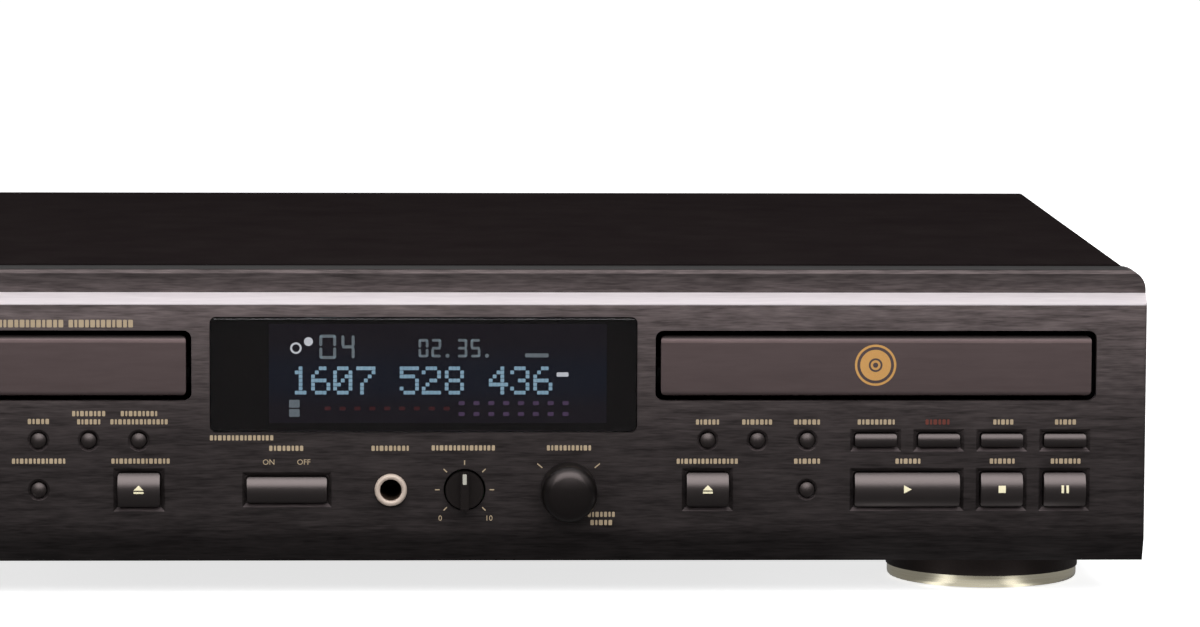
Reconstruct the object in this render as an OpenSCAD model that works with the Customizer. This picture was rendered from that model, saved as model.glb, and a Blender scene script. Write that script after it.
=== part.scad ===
// Dual CD recorder: two disc drawers in one full-width hi-fi case, built from separate pieces.
// Millimetres, +Z up, +Y towards the back. The origin is on the floor under the middle of the whole box.

/* [Front panel] */
// Width of the front panel
panel_w = 440; // [432:1:456]
// Height of the front panel
panel_h = 89.2; // [84:0.1:100]
// Depth of the front panel from its face to its back rim
panel_d = 18; // [17:0.5:20]
// Wall thickness of the front panel
panel_wall = 3; // [2.5:0.1:3.5]
// How far the middle field stands in front of the band above it
face_step = 4.5; // [3:0.1:6]
// Height of the band above the trim strip
top_band_h = 7; // [5:0.1:9]
// Height of the sloping trim strip
trim_h = 3.4; // [2:0.1:5]
// Height of the bevel below the middle field
bottom_bevel_h = 9.5; // [6:0.1:12]
// Radius of the two rounded top corners
corner_r = 6; // [2:0.5:7]
// Width of the slant along the panel's top edge
top_edge = 1.2; // [0.4:0.1:2]

/* [Case] */
// How far the front panel stands out past the case on each side
case_reveal = 5; // [3:0.5:9]
// Depth of the case behind the front panel
case_d = 270; // [258:1:320]
// Thickness of the sheet metal
sheet = 1; // [0.8:0.1:1.5]
// How far the cover stands above the top of the front panel
cover_rise = 0.4; // [0.2:0.1:2.5]

/* [Feet] */
// Diameter of a foot
foot_d = 60; // [50:1:64]
// Height of a foot
foot_h = 11; // [8:0.5:16]
// Height of the metal ring at the base of a foot
foot_ring_h = 4.2; // [2:0.1:6]
// Distance from the panel's face to the front rim of a front foot
foot_setback = 16; // [14:1:40]
// Distance from the panel's end to the centre of a foot
foot_inset = 45; // [42:0.5:60]

/* [Drawers] */
// Diameter of the disc
disc_d = 120; // [118:0.5:122]
// Distance from the panel's end to the centre line of a drawer
drawer_inset = 82.5; // [80:0.5:85]
// Distance from the top of the middle field down to the middle of a drawer
drawer_drop = 18.5; // [16:0.1:20]
// Height of a drawer front
drawer_face_h = 18.1; // [17:0.1:20]
// How far a drawer front reaches past the disc on each side
drawer_rim = 5.5; // [5:0.1:6.5]
// Gap round a drawer front in its slot
drawer_gap = 1.7; // [1.2:0.1:2.2]
// How far a drawer opens
drawer_travel = 138; // [120:1:140]
// Depth of the disc well
well_depth = 4.5; // [4.2:0.1:5]
// How far the turntable waits below the disc's seat
hub_drop = 3.5; // [2.8:0.1:4.5]

/* [Display] */
// Wall between the window and each drawer slot
web_w = 5.5; // [4:0.1:9]
// Height of the display window
window_h = 35.3; // [32:0.1:37]
// Distance from the top of the middle field to the window
window_margin = 3.6; // [3:0.1:6]
// Width of the lit field of the display
display_w = 100; // [90:1:104]
// Height of the lit field of the display
display_h = 29; // [24:0.5:29]
// Distance of the lit field's centre to the right of the middle
display_x = 4.3; // [0:0.1:5]

/* [Keys] */
// Height of the lower row of controls above the panel's bottom edge
row_low = 22.4; // [21:0.1:24]
// Height of the upper row of keys above the panel's bottom edge
row_high = 37.5; // [36:0.1:39]
// Width of a key
key_w = 12.7; // [10:0.1:14]
// Height of a tall key
key_h = 10.3; // [8:0.1:12]
// Height of a thin key
thin_h = 4; // [3:0.1:6]
// Distance between neighbouring keys
key_pitch = 19.25; // [18:0.05:20]
// Diameter of a round button
round_d = 4.5; // [3.5:0.1:6]
// Distance between neighbouring round buttons
round_pitch = 15.15; // [13:0.05:16]
// Distance from a drawer's centre line to its nearest round button
round_start = 20.9; // [19:0.1:22]
// Gap round a key in its hole
key_gap = 0.35; // [0.3:0.05:0.5]
// Width of the bevel round a key's hole
key_bevel = 1.1; // [0.6:0.1:1.5]
// How far a key travels
key_travel = 0.8; // [0.5:0.1:1.2]

/* [Middle controls] */
// Place of the power button, from the middle
power_x = -41.5; // [-46:0.5:-39]
// Width of the power button
power_w = 24.2; // [20:0.1:28]
// Height of the power button
power_h = 7.8; // [6:0.1:10]
// Place of the headphone socket, from the middle
jack_x = -10; // [-13:0.5:-9]
// Bore of the headphone socket
jack_bore = 6.4; // [6.4:0.1:6.8]
// Place of the level knob, from the middle
level_x = 12.4; // [11:0.1:15]
// Diameter of the level knob
level_d = 11.6; // [10:0.1:13]
// Place of the jog knob, from the middle
jog_x = 44; // [40:0.5:48]
// Diameter of the jog knob
jog_d = 17; // [14:0.5:20]
// How far the jog knob stands out of the face
jog_proud = 14; // [8:0.5:18]

/* [Hidden] */
$fn = 64;
// General gaps: past a cut surface, between sliding pieces, of a shaft in its bearing, between nested sheets
cut = 1;
slide_gap = 0.4;
bearing_gap = 0.08;
sheet_gap = 0.2;

// Levels of the case
socket_reach = 9;
face_y = jog_proud - (jog_proud + panel_d + case_d + socket_reach) / 2;
case_y0 = face_y + panel_d;
rear_y = case_y0 + case_d;
panel_z0 = foot_h;
panel_z1 = panel_z0 + panel_h;
field_z0 = panel_z0 + bottom_bevel_h;
field_z1 = panel_z1 - top_band_h - trim_h;
band_y = face_y + face_step;
rim_wall = 2.5;
trim_edge = 0.3;
ledge_wall = 1.5;
end_wall = case_reveal + sheet;
face_edge_r = 1.2;
soft_edge = 3;
soft_edge_steps = 5;
case_w = panel_w - 2 * case_reveal;
cover_z1 = panel_z1 + cover_rise;
pan_half = case_w / 2 - sheet - sheet_gap;
pan_top = panel_z0 + sheet;
pan_flange_h = 18;
pan_flange_gap = 1;
lip_h = 12;
hem_h = 6;
cover_r = 2;
rear_fold = 8;
rear_fold_inset = 4;
vent_count = 9;
vent_pitch = 9;
vent_w = 3;
vent_len = 50;
vent_r = 1.4;

// Rows and openings of the panel
row_low_z = panel_z0 + row_low;
row_high_z = panel_z0 + row_high;
drawer_x = panel_w / 2 - drawer_inset;
drawer_z = field_z1 - drawer_drop;
drawer_face_w = disc_d + 2 * drawer_rim;
slot_w = drawer_face_w + 2 * drawer_gap;
slot_h = drawer_face_h + 2 * drawer_gap;
slot_r = 2.5;
window_w = 2 * (drawer_x - slot_w / 2 - web_w);
window_z = field_z1 - window_margin - window_h / 2;
window_gap = 0.4;
window_r = 2;
window_lip = 1.2;
window_proud = 0.6;
window_edge_r = 0.5;
window_flange_t = 1.4;

// Front board, behind the panel wall
board_t = 1.6;
board_depth = 12;
board_lift = 10;
board_gap = 1.5;
board_y = face_y + board_depth;
board_z0 = panel_z0 + board_lift;
board_half = panel_w / 2 - end_wall - 1;
board_z1 = drawer_z - slot_h / 2 - board_gap;
tab_half = window_w / 2 + board_gap;
tab_z1 = panel_z1 - rim_wall - 2;
tube_t = 6.4;
tube_plate_t = 2.2;
tube_rim = 4;
tube_rim_h = 3;
tube_waist = 1.5;
switch_w = 6;
switch_d = 3.5;
plunger_d = 0.8;
plunger_rim = 0.2;
boss_r = 3;
boss_pilot_r = 1.5;
boss_pilot_d = 6;
boss_inset = 4.5;
boss_points = concat(
    [for (s = [-1, 1]) [s * (drawer_x - round_start - round_pitch), row_low_z]],
    [for (s = [-1, 1]) [s * (panel_w / 2 - end_wall - boss_inset), (row_low_z + row_high_z) / 2]],
    [[(jack_x + level_x) / 2, (row_low_z + window_z - window_h / 2) / 2]]);

// Keys
key_stand = 0.4;
key_sag = 0.24;
key_corner = 0.8;
key_edge = 0.1;
flange_t = 1;
flange_w = 0.9;
stem_r = 1.5;
flange_y = face_y + panel_wall + slide_gap;
stem_y1 = board_y - switch_d - plunger_d - key_travel - slide_gap;
sides = [["left_", -1], ["right_", 1]];
// Keys of one deck: name, place outwards from the drawer's centre line, height, size, kind
deck_keys = concat(
    [for (i = [0:2]) [str("round_button_", i + 1), -round_start - (2 - i) * round_pitch, row_high_z,
                      round_d, round_d, "round"]],
    [["round_button_4", -round_start, row_low_z, round_d, round_d, "round"]],
    [for (i = [0:3]) [str("thin_key_", i + 1), i * key_pitch, row_high_z, key_w, thin_h, "bar"]],
    [["open_key", -round_start - 2 * round_pitch, row_low_z, key_w, key_h, "bar"],
     ["play_key", key_pitch / 2, row_low_z, key_pitch + key_w, key_h, "bar"],
     ["stop_key", 2 * key_pitch, row_low_z, key_w, key_h, "bar"],
     ["pause_key", 3 * key_pitch, row_low_z, key_w, key_h, "bar"]]);
panel_keys = concat(
    [["power_button", power_x, row_low_z, power_w, power_h, "bar"]],
    [for (s = sides) for (k = deck_keys)
        [str(s[0], k[0]), s[1] * (drawer_x + k[1]), k[2], k[3], k[4], k[5]]]);

// Headphone socket and knobs
jack_ring_r = 4.9;
jack_neck_r = 4.3;
jack_body_w = 13;
jack_barrel_r = 5.5;
jack_len = 34;
jack_end_t = 2;
jack_mouth_depth = 0.5;
jack_flare = 0.2;
jack_end_y = face_y + jack_len;
jack_mouth_y = face_y + panel_wall + jack_mouth_depth;
ring_round = (jack_ring_r - jack_bore / 2) / 2;
knob_gap = 0.6;
shaft_r = 3;
level_base = 1.5;
level_bar_w = 2.5;
level_bar_d = 3;
control_w = 11;
control_gap = 2.5;
control_y0 = face_y + panel_wall + control_gap;
jog_round = 0.24 * jog_d;
jog_lift = 0.6;

// Feet
foot_x = panel_w / 2 - foot_inset;
foot_ys = [face_y + foot_setback + foot_d / 2, rear_y - foot_setback - foot_d / 2];
foot_points = [for (x = [-foot_x, foot_x]) for (y = foot_ys) [x, y]];
ring_wall = 4;
foot_core_r = foot_d / 2 - ring_wall;
foot_recess_r = 5;
foot_recess_h = 0.5 * foot_h;
ring_lift = 0.4;
ring_shy = 0.4;
ring_edge_r = 1.2;

// Screws
screw_r = 1.5;
screw_hole_r = 1.7;
head_r = 3.2;
head_h = 2;
cross_w = 1;
cross_r = 0.6 * head_r;
screw_len = 6;
side_screw_inset = 40;
side_screw_ys = [case_y0 + side_screw_inset, rear_y - side_screw_inset];
side_screw_z = panel_z0 + 10;
lip_screw_x = case_w * 0.35;
lip_screw_xs = [-lip_screw_x, 0, lip_screw_x];
lip_screw_z = cover_z1 - lip_h / 2;
lug_inset = 25;
lug_mid_x = 60;
lug_xs = [-panel_w / 2 + lug_inset, -lug_mid_x, lug_mid_x, panel_w / 2 - lug_inset];
lug_w = 10;
lug_d = 8;
lug_h = 7;
lug_z = panel_z0 + rim_wall + lug_h / 2;

// Disc and drawer
drawer_proud = 0.8;
drawer_front_t = 4.8;
drawer_edge_r = 1.4;
drawer_corner_r = slot_r - 1;
disc_lip = 10;
drawer_y0 = face_y - drawer_proud + drawer_front_t;
disc_y = drawer_y0 + disc_lip + disc_d / 2;
tray_rim = 3.5;
tray_half = disc_d / 2 + tray_rim;
runner_w = 2.5;
runner_h = 3;
runner_drop = 10.3;
runner_start = 12;
mid_rise = 5;
tray_top = drawer_z + mid_rise;
well_z = tray_top - well_depth;
disc_gap = 0.6;
well_r = disc_d / 2 + disc_gap;
tray_floor = 2.2;
tray_z0 = well_z - tray_floor;
runner_z = tray_top - runner_drop;
tray_slot_half = 20;
tray_grip = 48;
tray_y1 = drawer_y0 + drawer_travel + tray_grip;
small_disc_r = 40;
small_well_r = small_disc_r + disc_gap;
small_well_drop = 0.8;
skirt_w = 2.5;
rim_w = skirt_w + 0.4;
tray_skin = 2;

// Loader frame
loader_front_gap = 4;
loader_back_gap = 10;
loader_y0 = case_y0 + loader_front_gap;
loader_y1 = tray_y1 + loader_back_gap;
loader_wall = 3;
loader_in = tray_half + runner_w + slide_gap;
loader_half = loader_in + loader_wall;
loader_rise = 13;
loader_drop = 34.3;
loader_top = drawer_z + loader_rise;
loader_base_t = 3;
loader_base = drawer_z - loader_drop;
loading_motor_r = 9;
loading_motor_h = 13;
mech_room = 2;
leg_r = 4;
leg_inset = 8;
ledge_t = 2.2;
ledge_grip = 1;
ledge_gap = 0.6;
bridge_t = 1.5;
bridge_half_y = 22;

// Rack and drive gear
gear_module = 1;
gear_teeth = 20;
pressure = 20;
tooth_slack = 0.07;
gear_r = gear_module * gear_teeth / 2;
gear_tip = gear_r + gear_module;
gear_root = gear_r - 1.25 * gear_module;
gear_base = gear_r * cos(pressure);
gear_pitch = PI * gear_module;
rack_inset = 11.5;
rack_back = tray_half - rack_inset;
rack_w = 3;
rack_land = 1;
rack_line = rack_back - 1.25 * gear_module;
gear_x = rack_line - gear_r;
gear_back = 16;
rack_hang = 3;
gear_y = loader_y0 + gear_back;
rack_h = tray_z0 - runner_z + rack_hang;
rack_z0 = tray_z0 - rack_h;
gear_drop = 0.5;
gear_z0 = rack_z0 - gear_drop;
gear_h = 4.5;
post_r = 2;
post_foot_r = 4;
rack_from = -3;
rack_to = ceil(drawer_travel / gear_pitch) + 2;

// Lifting mechanism
mech_drop = 21.3;
mech_z = drawer_z - mech_drop;
mech_t = 2;
mech_half = tray_half - 7.5;
mech_ahead = 26;
mech_behind = 88;
mech_y0 = disc_y - mech_ahead;
mech_y1 = disc_y + mech_behind;
mech_pin_r = 1.5;
mech_pin_inset = 8;
mech_pin_ys = [mech_y0 + mech_pin_inset, mech_y1 - mech_pin_inset];
plate_window_x = 38;
plate_window_y = 32;
plate_window_w = 20;
plate_window_len = 60;
plate_window_r = 4;
motor_r = 11;
motor_h = 10;
spindle_r = 1;
hub_r = 14;
hub_top = well_z - hub_drop;
lift = tray_top - hub_top;
hub_t = 4;
cone_r = 7.4;
cone_tip_r = 5.4;
cone_h = 2.3;
rod_r = 1.5;
rod_x = 13;
rod_lift = 5.5;
rod_z = mech_z + mech_t + rod_lift;
bracket_t = 3;
bracket_half = 4;
bracket_top = 3.5;
bracket_start = 12;
bracket_ys = [disc_y + bracket_start, mech_y1 - 2 * bracket_t];
laser_gap = 5;
spindle_seat = 3;
sled_travel = 35;
sled_half = 17.5;
sled_len = 28;
sled_gap = 1.5;
sled_y0 = bracket_ys[0] + bracket_t + 1;
sled_z0 = mech_z + mech_t + sled_gap;
sled_h = 8.5;
lens_r = 3;
lens_back = 8;
lens_rim = 2;
lens_rim_h = 1.6;
lens_dome_r = 5.5;
lens_sink = 3;
puck_r = 15;
puck_gap = 0.8;
puck_z0 = tray_top + puck_gap;
puck_t = 3;
puck_neck_r = 10.5;
puck_flange_r = 13.5;
puck_flange_t = 1.5;
puck_recess_r = 8.5;
bridge_hole_r = 11.3;

// Boards and sockets inside the back
standoff_h = 6;
standoff_r = 3;
standoff_inset = 6;
standoff_back = 18;
main_board_z = pan_top + standoff_h;
main_board_front = 5;
main_board_back = 3;
main_board_past = 58;
main_board_y0 = loader_y1 + main_board_front;
main_board_y1 = rear_y - sheet - main_board_back;
main_board_half = drawer_x + main_board_past;
power_board_side = 8;
power_board_start = 40;
power_board_len = 110;
power_board_half = drawer_x - loader_half - power_board_side;
power_board_y0 = loader_y0 + power_board_start;
power_board_y1 = power_board_y0 + power_board_len;
board_top = main_board_z + board_t;
phono_r = 4.15;
phono_pin_r = 1.65;
phono_collar_r = 5;
phono_collar_t = 0.8;
phono_rise = 9;
phono_pitch = 14;
phono_zs = [board_top + phono_rise, board_top + phono_rise + phono_pitch];
phono_lip = 0.7;
phono_hole_r = 5.2;
block_w = 13;
block_d = 12;
block_h = 30;
analog_start = 5;
analog_pitch = 20;
analog_xs = [drawer_x + analog_start, drawer_x + analog_start + analog_pitch];
coax_start = 20;
coax_x = drawer_x - coax_start;
optical_start = 42;
optical_pitch = 18;
optical_xs = [drawer_x - optical_start, drawer_x - optical_start - optical_pitch];
optical_w = 12;
optical_h = 11;
optical_port = 8.4;
optical_depth = 9;
optical_d = 14;
optical_rim = 2;
optical_proud = 0.6;
optical_z = board_top + optical_h / 2;
inlet_out = 40;
inlet_lift = 22;
inlet_x = -drawer_x - inlet_out;
inlet_z = panel_z0 + inlet_lift;
inlet_w = 22;
inlet_h = 13;
inlet_d = 18;
inlet_port_w = 17.8;
inlet_port_h = 9.2;
inlet_port_d = 14;
inlet_rim = 2.5;
inlet_rim_w = 3;
inlet_rim_h = 2;
inlet_fit = 0.3;
inlet_pin_r = 1.2;
inlet_pin_x = 4.3;
inlet_pin_len = 10;

// Pieces on the boards: chips, cans and plugs, then the transformer and the heat sink of the power board
chip_w = 24;
chip_h = 2.6;
chip_xs = [for (share = [-0.46, -0.1, 0.3]) share * main_board_half];
can_r = 4;
can_h = 11;
can_pitch = 20;
can_back = 11.5;
plug_w = 24;
plug_d = 5;
plug_h = 8;
plug_pitch = 40;
core_w = 40;
core_d = 36;
core_h = 34;
coil_w = 28;
coil_d = 48;
coil_h = 22;
coil_lift = 6;
transformer_x = -power_board_half * 0.45;
transformer_back = 32;
big_can_r = 9;
big_can_h = 30;
big_can_pitch = 22;
big_can_x = power_board_half * 0.18;
big_can_back = 24;
small_can_r = 5.5;
small_can_h = 18;
small_can_pitch = 16;
small_can_x = power_board_half * 0.12;
small_can_back = 48;
sink_w = 60;
sink_t = 4;
sink_h = 30;
sink_back = 80;
fin_len = 14;
fin_t = 2;
fin_pitch = 7;

// Colours of the drawing
dark = [0.2, 0.18, 0.18];
black = [0.09, 0.08, 0.08];
silver = [0.85, 0.83, 0.82];
gold = [0.75, 0.68, 0.5];
steel = [0.6, 0.6, 0.62];
green = [0.12, 0.35, 0.2];
white = [0.85, 0.85, 0.83];

key_names = [for (k = panel_keys) k[0]];
deck_nodes = ["tray", "tray_front", "mech_plate", "turntable", "laser_sled", "tray_gear", "clamp_puck"];

// Helpers

// A flat shape in X and Z, pulled along Y
module along_y(y0, length) {
    translate([0, y0 + length, 0]) rotate([90, 0, 0]) linear_extrude(length) children();
}

// A flat shape in Y and Z, pulled along X
module along_x(x0, length) {
    translate([x0, 0, 0]) rotate([90, 0, 90]) linear_extrude(length) children();
}

// A round bar along Y
module bar_y(y0, y1, r) {
    translate([0, y0, 0]) rotate([-90, 0, 0]) cylinder(r = r, h = y1 - y0);
}

// A box between two corners
module block(low, high) {
    translate(low) cube(high - low);
}

// A flat rectangle with round corners about its centre
module rounded_rect(w, h, r) {
    square([w - 2 * r, h], center = true);
    square([w, h - 2 * r], center = true);
    for (x = [-1, 1], y = [-1, 1]) translate([x * (w / 2 - r), y * (h / 2 - r)]) circle(r);
}

// A flat sheet outline with two round upper corners
module arch_rect(w, z0, z1, r) {
    translate([-w / 2, z0]) square([w, z1 - z0 - r]);
    translate([-w / 2 + r, z0]) square([w - 2 * r, z1 - z0]);
    for (x = [-1, 1]) translate([x * (w / 2 - r), z1 - r]) circle(r);
}

// The same piece for the right deck and, mirrored, for the left deck
module on_side(side) {
    if (side < 0) mirror([1, 0, 0]) translate([drawer_x, 0, 0]) children();
    else translate([drawer_x, 0, 0]) children();
}

module both_decks() {
    for (s = [-1, 1]) on_side(s) children();
}

// A pan-head screw with its head on z = 0 and its shank going down
module screw(length) {
    difference() {
        cylinder(r = head_r, h = head_h);
        for (a = [0, 90]) rotate(a) translate([-cross_r, -cross_w / 2, head_h / 2])
            cube([2 * cross_r, cross_w, head_h]);
    }
    translate([0, 0, -length]) cylinder(r = screw_r, h = length);
}

// Case

// A post that carries a board above the pan
module standoff() translate([0, 0, pan_top - sheet / 2]) cylinder(r = standoff_r, h = standoff_h + sheet / 2);

module chassis_pan() color(steel) difference() {
    union() {
        block([-pan_half, case_y0, panel_z0], [pan_half, rear_y, pan_top]);
        for (s = [0, 1]) mirror([s, 0, 0])
            block([pan_half - sheet, case_y0, panel_z0],
                  [pan_half, rear_y - sheet - pan_flange_gap, panel_z0 + pan_flange_h]);
        block([-pan_half, case_y0, panel_z0], [pan_half, case_y0 + sheet, panel_z0 + rim_wall + lug_h]);
        for (x = [-1, 0, 1], y = [main_board_y0 + standoff_inset, main_board_y1 - standoff_back])
            translate([x * (main_board_half - standoff_inset), y, 0]) standoff();
        for (x = [-1, 1], y = [power_board_y0 + standoff_inset, power_board_y1 - standoff_inset])
            translate([x * (power_board_half - standoff_inset), y, 0]) standoff();
    }
    for (p = foot_points) translate([p[0], p[1], panel_z0 - cut])
        cylinder(r = screw_hole_r, h = sheet + 2 * cut);
    for (y = side_screw_ys) translate([-panel_w / 2, y, side_screw_z]) rotate([0, 90, 0])
        cylinder(r = screw_hole_r, h = panel_w);
    for (x = lug_xs) translate([x, 0, lug_z]) bar_y(case_y0 - cut, case_y0 + sheet + cut, screw_hole_r);
    // Air slots under the power board
    vent_y = (power_board_y0 + power_board_y1) / 2;
    for (i = [0:vent_count - 1]) translate([(i - (vent_count - 1) / 2) * vent_pitch, vent_y, panel_z0 - cut])
        linear_extrude(sheet + 2 * cut) rounded_rect(vent_w, vent_len, vent_r);
}

module rear_panel() color(steel) difference() {
    union() {
        along_y(rear_y - sheet, sheet)
            arch_rect(2 * pan_half, pan_top, cover_z1 - sheet - sheet_gap, cover_r - sheet + sheet_gap);
        block([-pan_half + rear_fold_inset, rear_y - sheet - rear_fold, pan_top],
              [pan_half - rear_fold_inset, rear_y, pan_top + sheet]);
    }
    for (x = concat(analog_xs, [coax_x]), z = phono_zs) translate([x, 0, z])
        bar_y(rear_y - sheet - cut, rear_y + cut, phono_hole_r);
    for (x = optical_xs) translate([x, 0, optical_z])
        along_y(rear_y - sheet - cut, sheet + 2 * cut)
            square([optical_w - optical_rim, optical_h - optical_rim], center = true);
    translate([inlet_x, 0, inlet_z]) along_y(rear_y - sheet - cut, sheet + 2 * cut)
        square([inlet_w + 2 * inlet_fit, inlet_h + 2 * inlet_fit], center = true);
    for (x = lip_screw_xs) translate([x, 0, lip_screw_z])
        bar_y(rear_y - sheet - cut, rear_y + cut, screw_hole_r);
}

module top_cover() color(black) difference() {
    union() {
        difference() {
            along_y(case_y0, case_d + sheet / 2) arch_rect(case_w, panel_z0, cover_z1, cover_r);
            along_y(case_y0 - cut, case_d + 2 * cut)
                arch_rect(case_w - 2 * sheet, panel_z0 - cut, cover_z1 - sheet, cover_r - sheet);
        }
        intersection() {
            along_y(rear_y, sheet) arch_rect(case_w, panel_z0, cover_z1, cover_r);
            block([-case_w, rear_y - cut, cover_z1 - lip_h], [case_w, rear_y + 2 * sheet, cover_z1]);
        }
        // Front edge, folded down behind the panel
        intersection() {
            along_y(case_y0, sheet) arch_rect(case_w, panel_z0, cover_z1, cover_r);
            block([-case_w, case_y0 - cut, cover_z1 - hem_h], [case_w, case_y0 + 2 * sheet, cover_z1 + cut]);
        }
    }
    for (y = side_screw_ys) translate([-panel_w / 2, y, side_screw_z]) rotate([0, 90, 0])
        cylinder(r = screw_hole_r, h = panel_w);
    for (x = lip_screw_xs) translate([x, 0, lip_screw_z])
        bar_y(rear_y - cut, rear_y + sheet + cut, screw_hole_r);
}

module case_screws() color(steel) {
    for (s = [-1, 1], y = side_screw_ys) translate([s * case_w / 2, y, side_screw_z])
        rotate([0, s * 90, 0]) screw(screw_len);
    for (x = lip_screw_xs) translate([x, rear_y + sheet, lip_screw_z]) rotate([-90, 0, 0]) screw(screw_len);
    for (x = lug_xs) translate([x, case_y0 + sheet, lug_z]) rotate([-90, 0, 0]) screw(screw_len);
    for (p = foot_points) translate([p[0], p[1], foot_recess_h]) rotate([180, 0, 0])
        screw(foot_h - foot_recess_h + screw_len / 2);
    for (p = boss_points) translate([p[0], board_y + board_t, p[1]]) rotate([-90, 0, 0]) screw(screw_len);
}

module feet() color(black) for (p = foot_points) translate([p[0], p[1], 0]) difference() {
    union() {
        cylinder(r = foot_core_r, h = foot_h);
        translate([0, 0, foot_ring_h]) cylinder(r = foot_d / 2, h = foot_h - foot_ring_h);
    }
    translate([0, 0, -cut]) cylinder(r = foot_recess_r, h = foot_recess_h + cut);
    cylinder(r = screw_hole_r, h = foot_h + cut);
}

// Each ring is a band with a rounded lower edge
module foot_rings() color(gold) for (p = foot_points) translate([p[0], p[1], 0]) rotate_extrude() {
    ring_in = foot_core_r + bearing_gap;
    ring_out = foot_d / 2 - ring_shy;
    edge_z = ring_lift + ring_edge_r;
    translate([ring_in, edge_z]) square([ring_out - ring_in, foot_ring_h - edge_z]);
    translate([ring_in, ring_lift]) square([ring_out - ring_in - ring_edge_r, ring_edge_r + cut / 2]);
    translate([ring_out - ring_edge_r, edge_z]) circle(ring_edge_r);
}

// Front panel and display

// A rectangular hole that widens to the front by the bevel
module bevel_cut(w, h) intersection() {
    linear_extrude(h + 4 * (key_bevel + cut), center = true)
        polygon([[-w / 2 - key_bevel - cut, -cut], [w / 2 + key_bevel + cut, -cut],
                 [w / 2, key_bevel], [-w / 2, key_bevel]]);
    along_x(-w / 2 - 2 * (key_bevel + cut), w + 4 * (key_bevel + cut))
        polygon([[-cut, -h / 2 - key_bevel - cut], [-cut, h / 2 + key_bevel + cut],
                 [key_bevel, h / 2], [key_bevel, -h / 2]]);
}

module key_hole(k) translate([k[1], face_y, k[2]]) {
    w = k[3] + 2 * key_gap;
    h = k[4] + 2 * key_gap;
    if (k[5] == "round") {
        bar_y(-cut, panel_wall + cut, w / 2);
        rotate([-90, 0, 0]) translate([0, 0, -cut])
            cylinder(r1 = w / 2 + key_bevel * 0.7 + cut, r2 = w / 2, h = key_bevel * 0.7 + cut);
    } else {
        along_y(-cut, panel_wall + 2 * cut) rounded_rect(w, h, key_corner + key_gap);
        bevel_cut(w, h);
    }
}

// Plan of the panel, with its two upright front edges rounded
module panel_plan() {
    translate([-panel_w / 2, face_y + face_edge_r]) square([panel_w, panel_d]);
    translate([-panel_w / 2 + face_edge_r, face_y]) square([panel_w - 2 * face_edge_r, panel_d]);
    for (s = [-1, 1]) translate([s * (panel_w / 2 - face_edge_r), face_y + face_edge_r]) circle(face_edge_r);
}

// Side view of the panel, with a soft edge in short steps between the field and the bevel below it
bevel_turn = atan(face_step / bottom_bevel_h);
soft_r = soft_edge / tan(bevel_turn / 2);
soft_edge_points = [for (i = [0:soft_edge_steps]) let (a = bevel_turn * (1 - i / soft_edge_steps))
    [face_y + soft_r * (1 - cos(a)), field_z0 + soft_edge - soft_r * sin(a)]];

module panel_profile() polygon(concat(soft_edge_points, [
    [face_y, field_z1], [band_y, field_z1], [band_y, panel_z1 - top_edge], [band_y + top_edge, panel_z1],
    [case_y0, panel_z1], [case_y0, panel_z0], [band_y, panel_z0]]));

// A plate's side view about its middle, with its two front edges rounded
module plate_profile(y0, depth, h, r) {
    translate([y0 + r, -h / 2]) square([depth - r, h]);
    translate([y0, -h / 2 + r]) square([depth, h - 2 * r]);
    for (s = [-1, 1]) translate([y0 + r, s * (h / 2 - r)]) circle(r);
}

// A plate in X and Z with round corners, whose upper and lower front edges are rounded
module soft_plate(y0, depth, w, h, corner, edge) intersection() {
    along_y(y0, depth) rounded_rect(w, h, corner);
    along_x(-w, 2 * w) plate_profile(y0, depth, h, edge);
}

module front_panel() color(dark) difference() {
    union() {
        difference() {
            intersection() {
                along_x(-panel_w / 2, panel_w) panel_profile();
                along_y(face_y - cut, panel_d + 2 * cut)
                    arch_rect(panel_w, panel_z0 - cut, panel_z1, corner_r);
                translate([0, 0, panel_z0 - cut]) linear_extrude(panel_h + 2 * cut) panel_plan();
            }
            along_x(-panel_w / 2 + end_wall, panel_w - 2 * end_wall)
                polygon([[face_y + panel_wall, field_z0 + 1], [face_y + panel_wall, field_z1 - ledge_wall],
                         [band_y + panel_wall, field_z1 - ledge_wall],
                         [band_y + panel_wall, panel_z1 - rim_wall],
                         [case_y0 + cut, panel_z1 - rim_wall], [case_y0 + cut, panel_z0 + rim_wall],
                         [band_y + panel_wall, panel_z0 + rim_wall]]);
        }
        for (p = boss_points) translate([p[0], 0, p[1]])
            bar_y(face_y + panel_wall - cut / 2, board_y, boss_r);
        for (x = lug_xs) block([x - lug_w / 2, case_y0 - lug_d, panel_z0 + rim_wall - cut / 2],
                               [x + lug_w / 2, case_y0, panel_z0 + rim_wall + lug_h]);
    }
    for (s = [-1, 1]) translate([s * drawer_x, 0, drawer_z])
        along_y(face_y - cut, panel_wall + 2 * cut) rounded_rect(slot_w, slot_h, slot_r);
    translate([0, 0, window_z]) along_y(face_y - cut, panel_wall + 2 * cut)
        rounded_rect(window_w, window_h, window_r);
    for (k = panel_keys) key_hole(k);
    for (hole = [[jack_x, jack_neck_r + bearing_gap], [level_x, level_d / 2 + knob_gap],
                 [jog_x, shaft_r + knob_gap]])
        translate([hole[0], 0, row_low_z]) bar_y(face_y - cut, face_y + panel_wall + cut, hole[1]);
    for (p = boss_points) translate([p[0], 0, p[1]])
        bar_y(board_y - boss_pilot_d, board_y + cut, boss_pilot_r + bearing_gap);
    for (x = lug_xs) translate([x, 0, lug_z])
        bar_y(case_y0 - screw_len - 1, case_y0 + cut, screw_r + bearing_gap);
}

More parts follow.
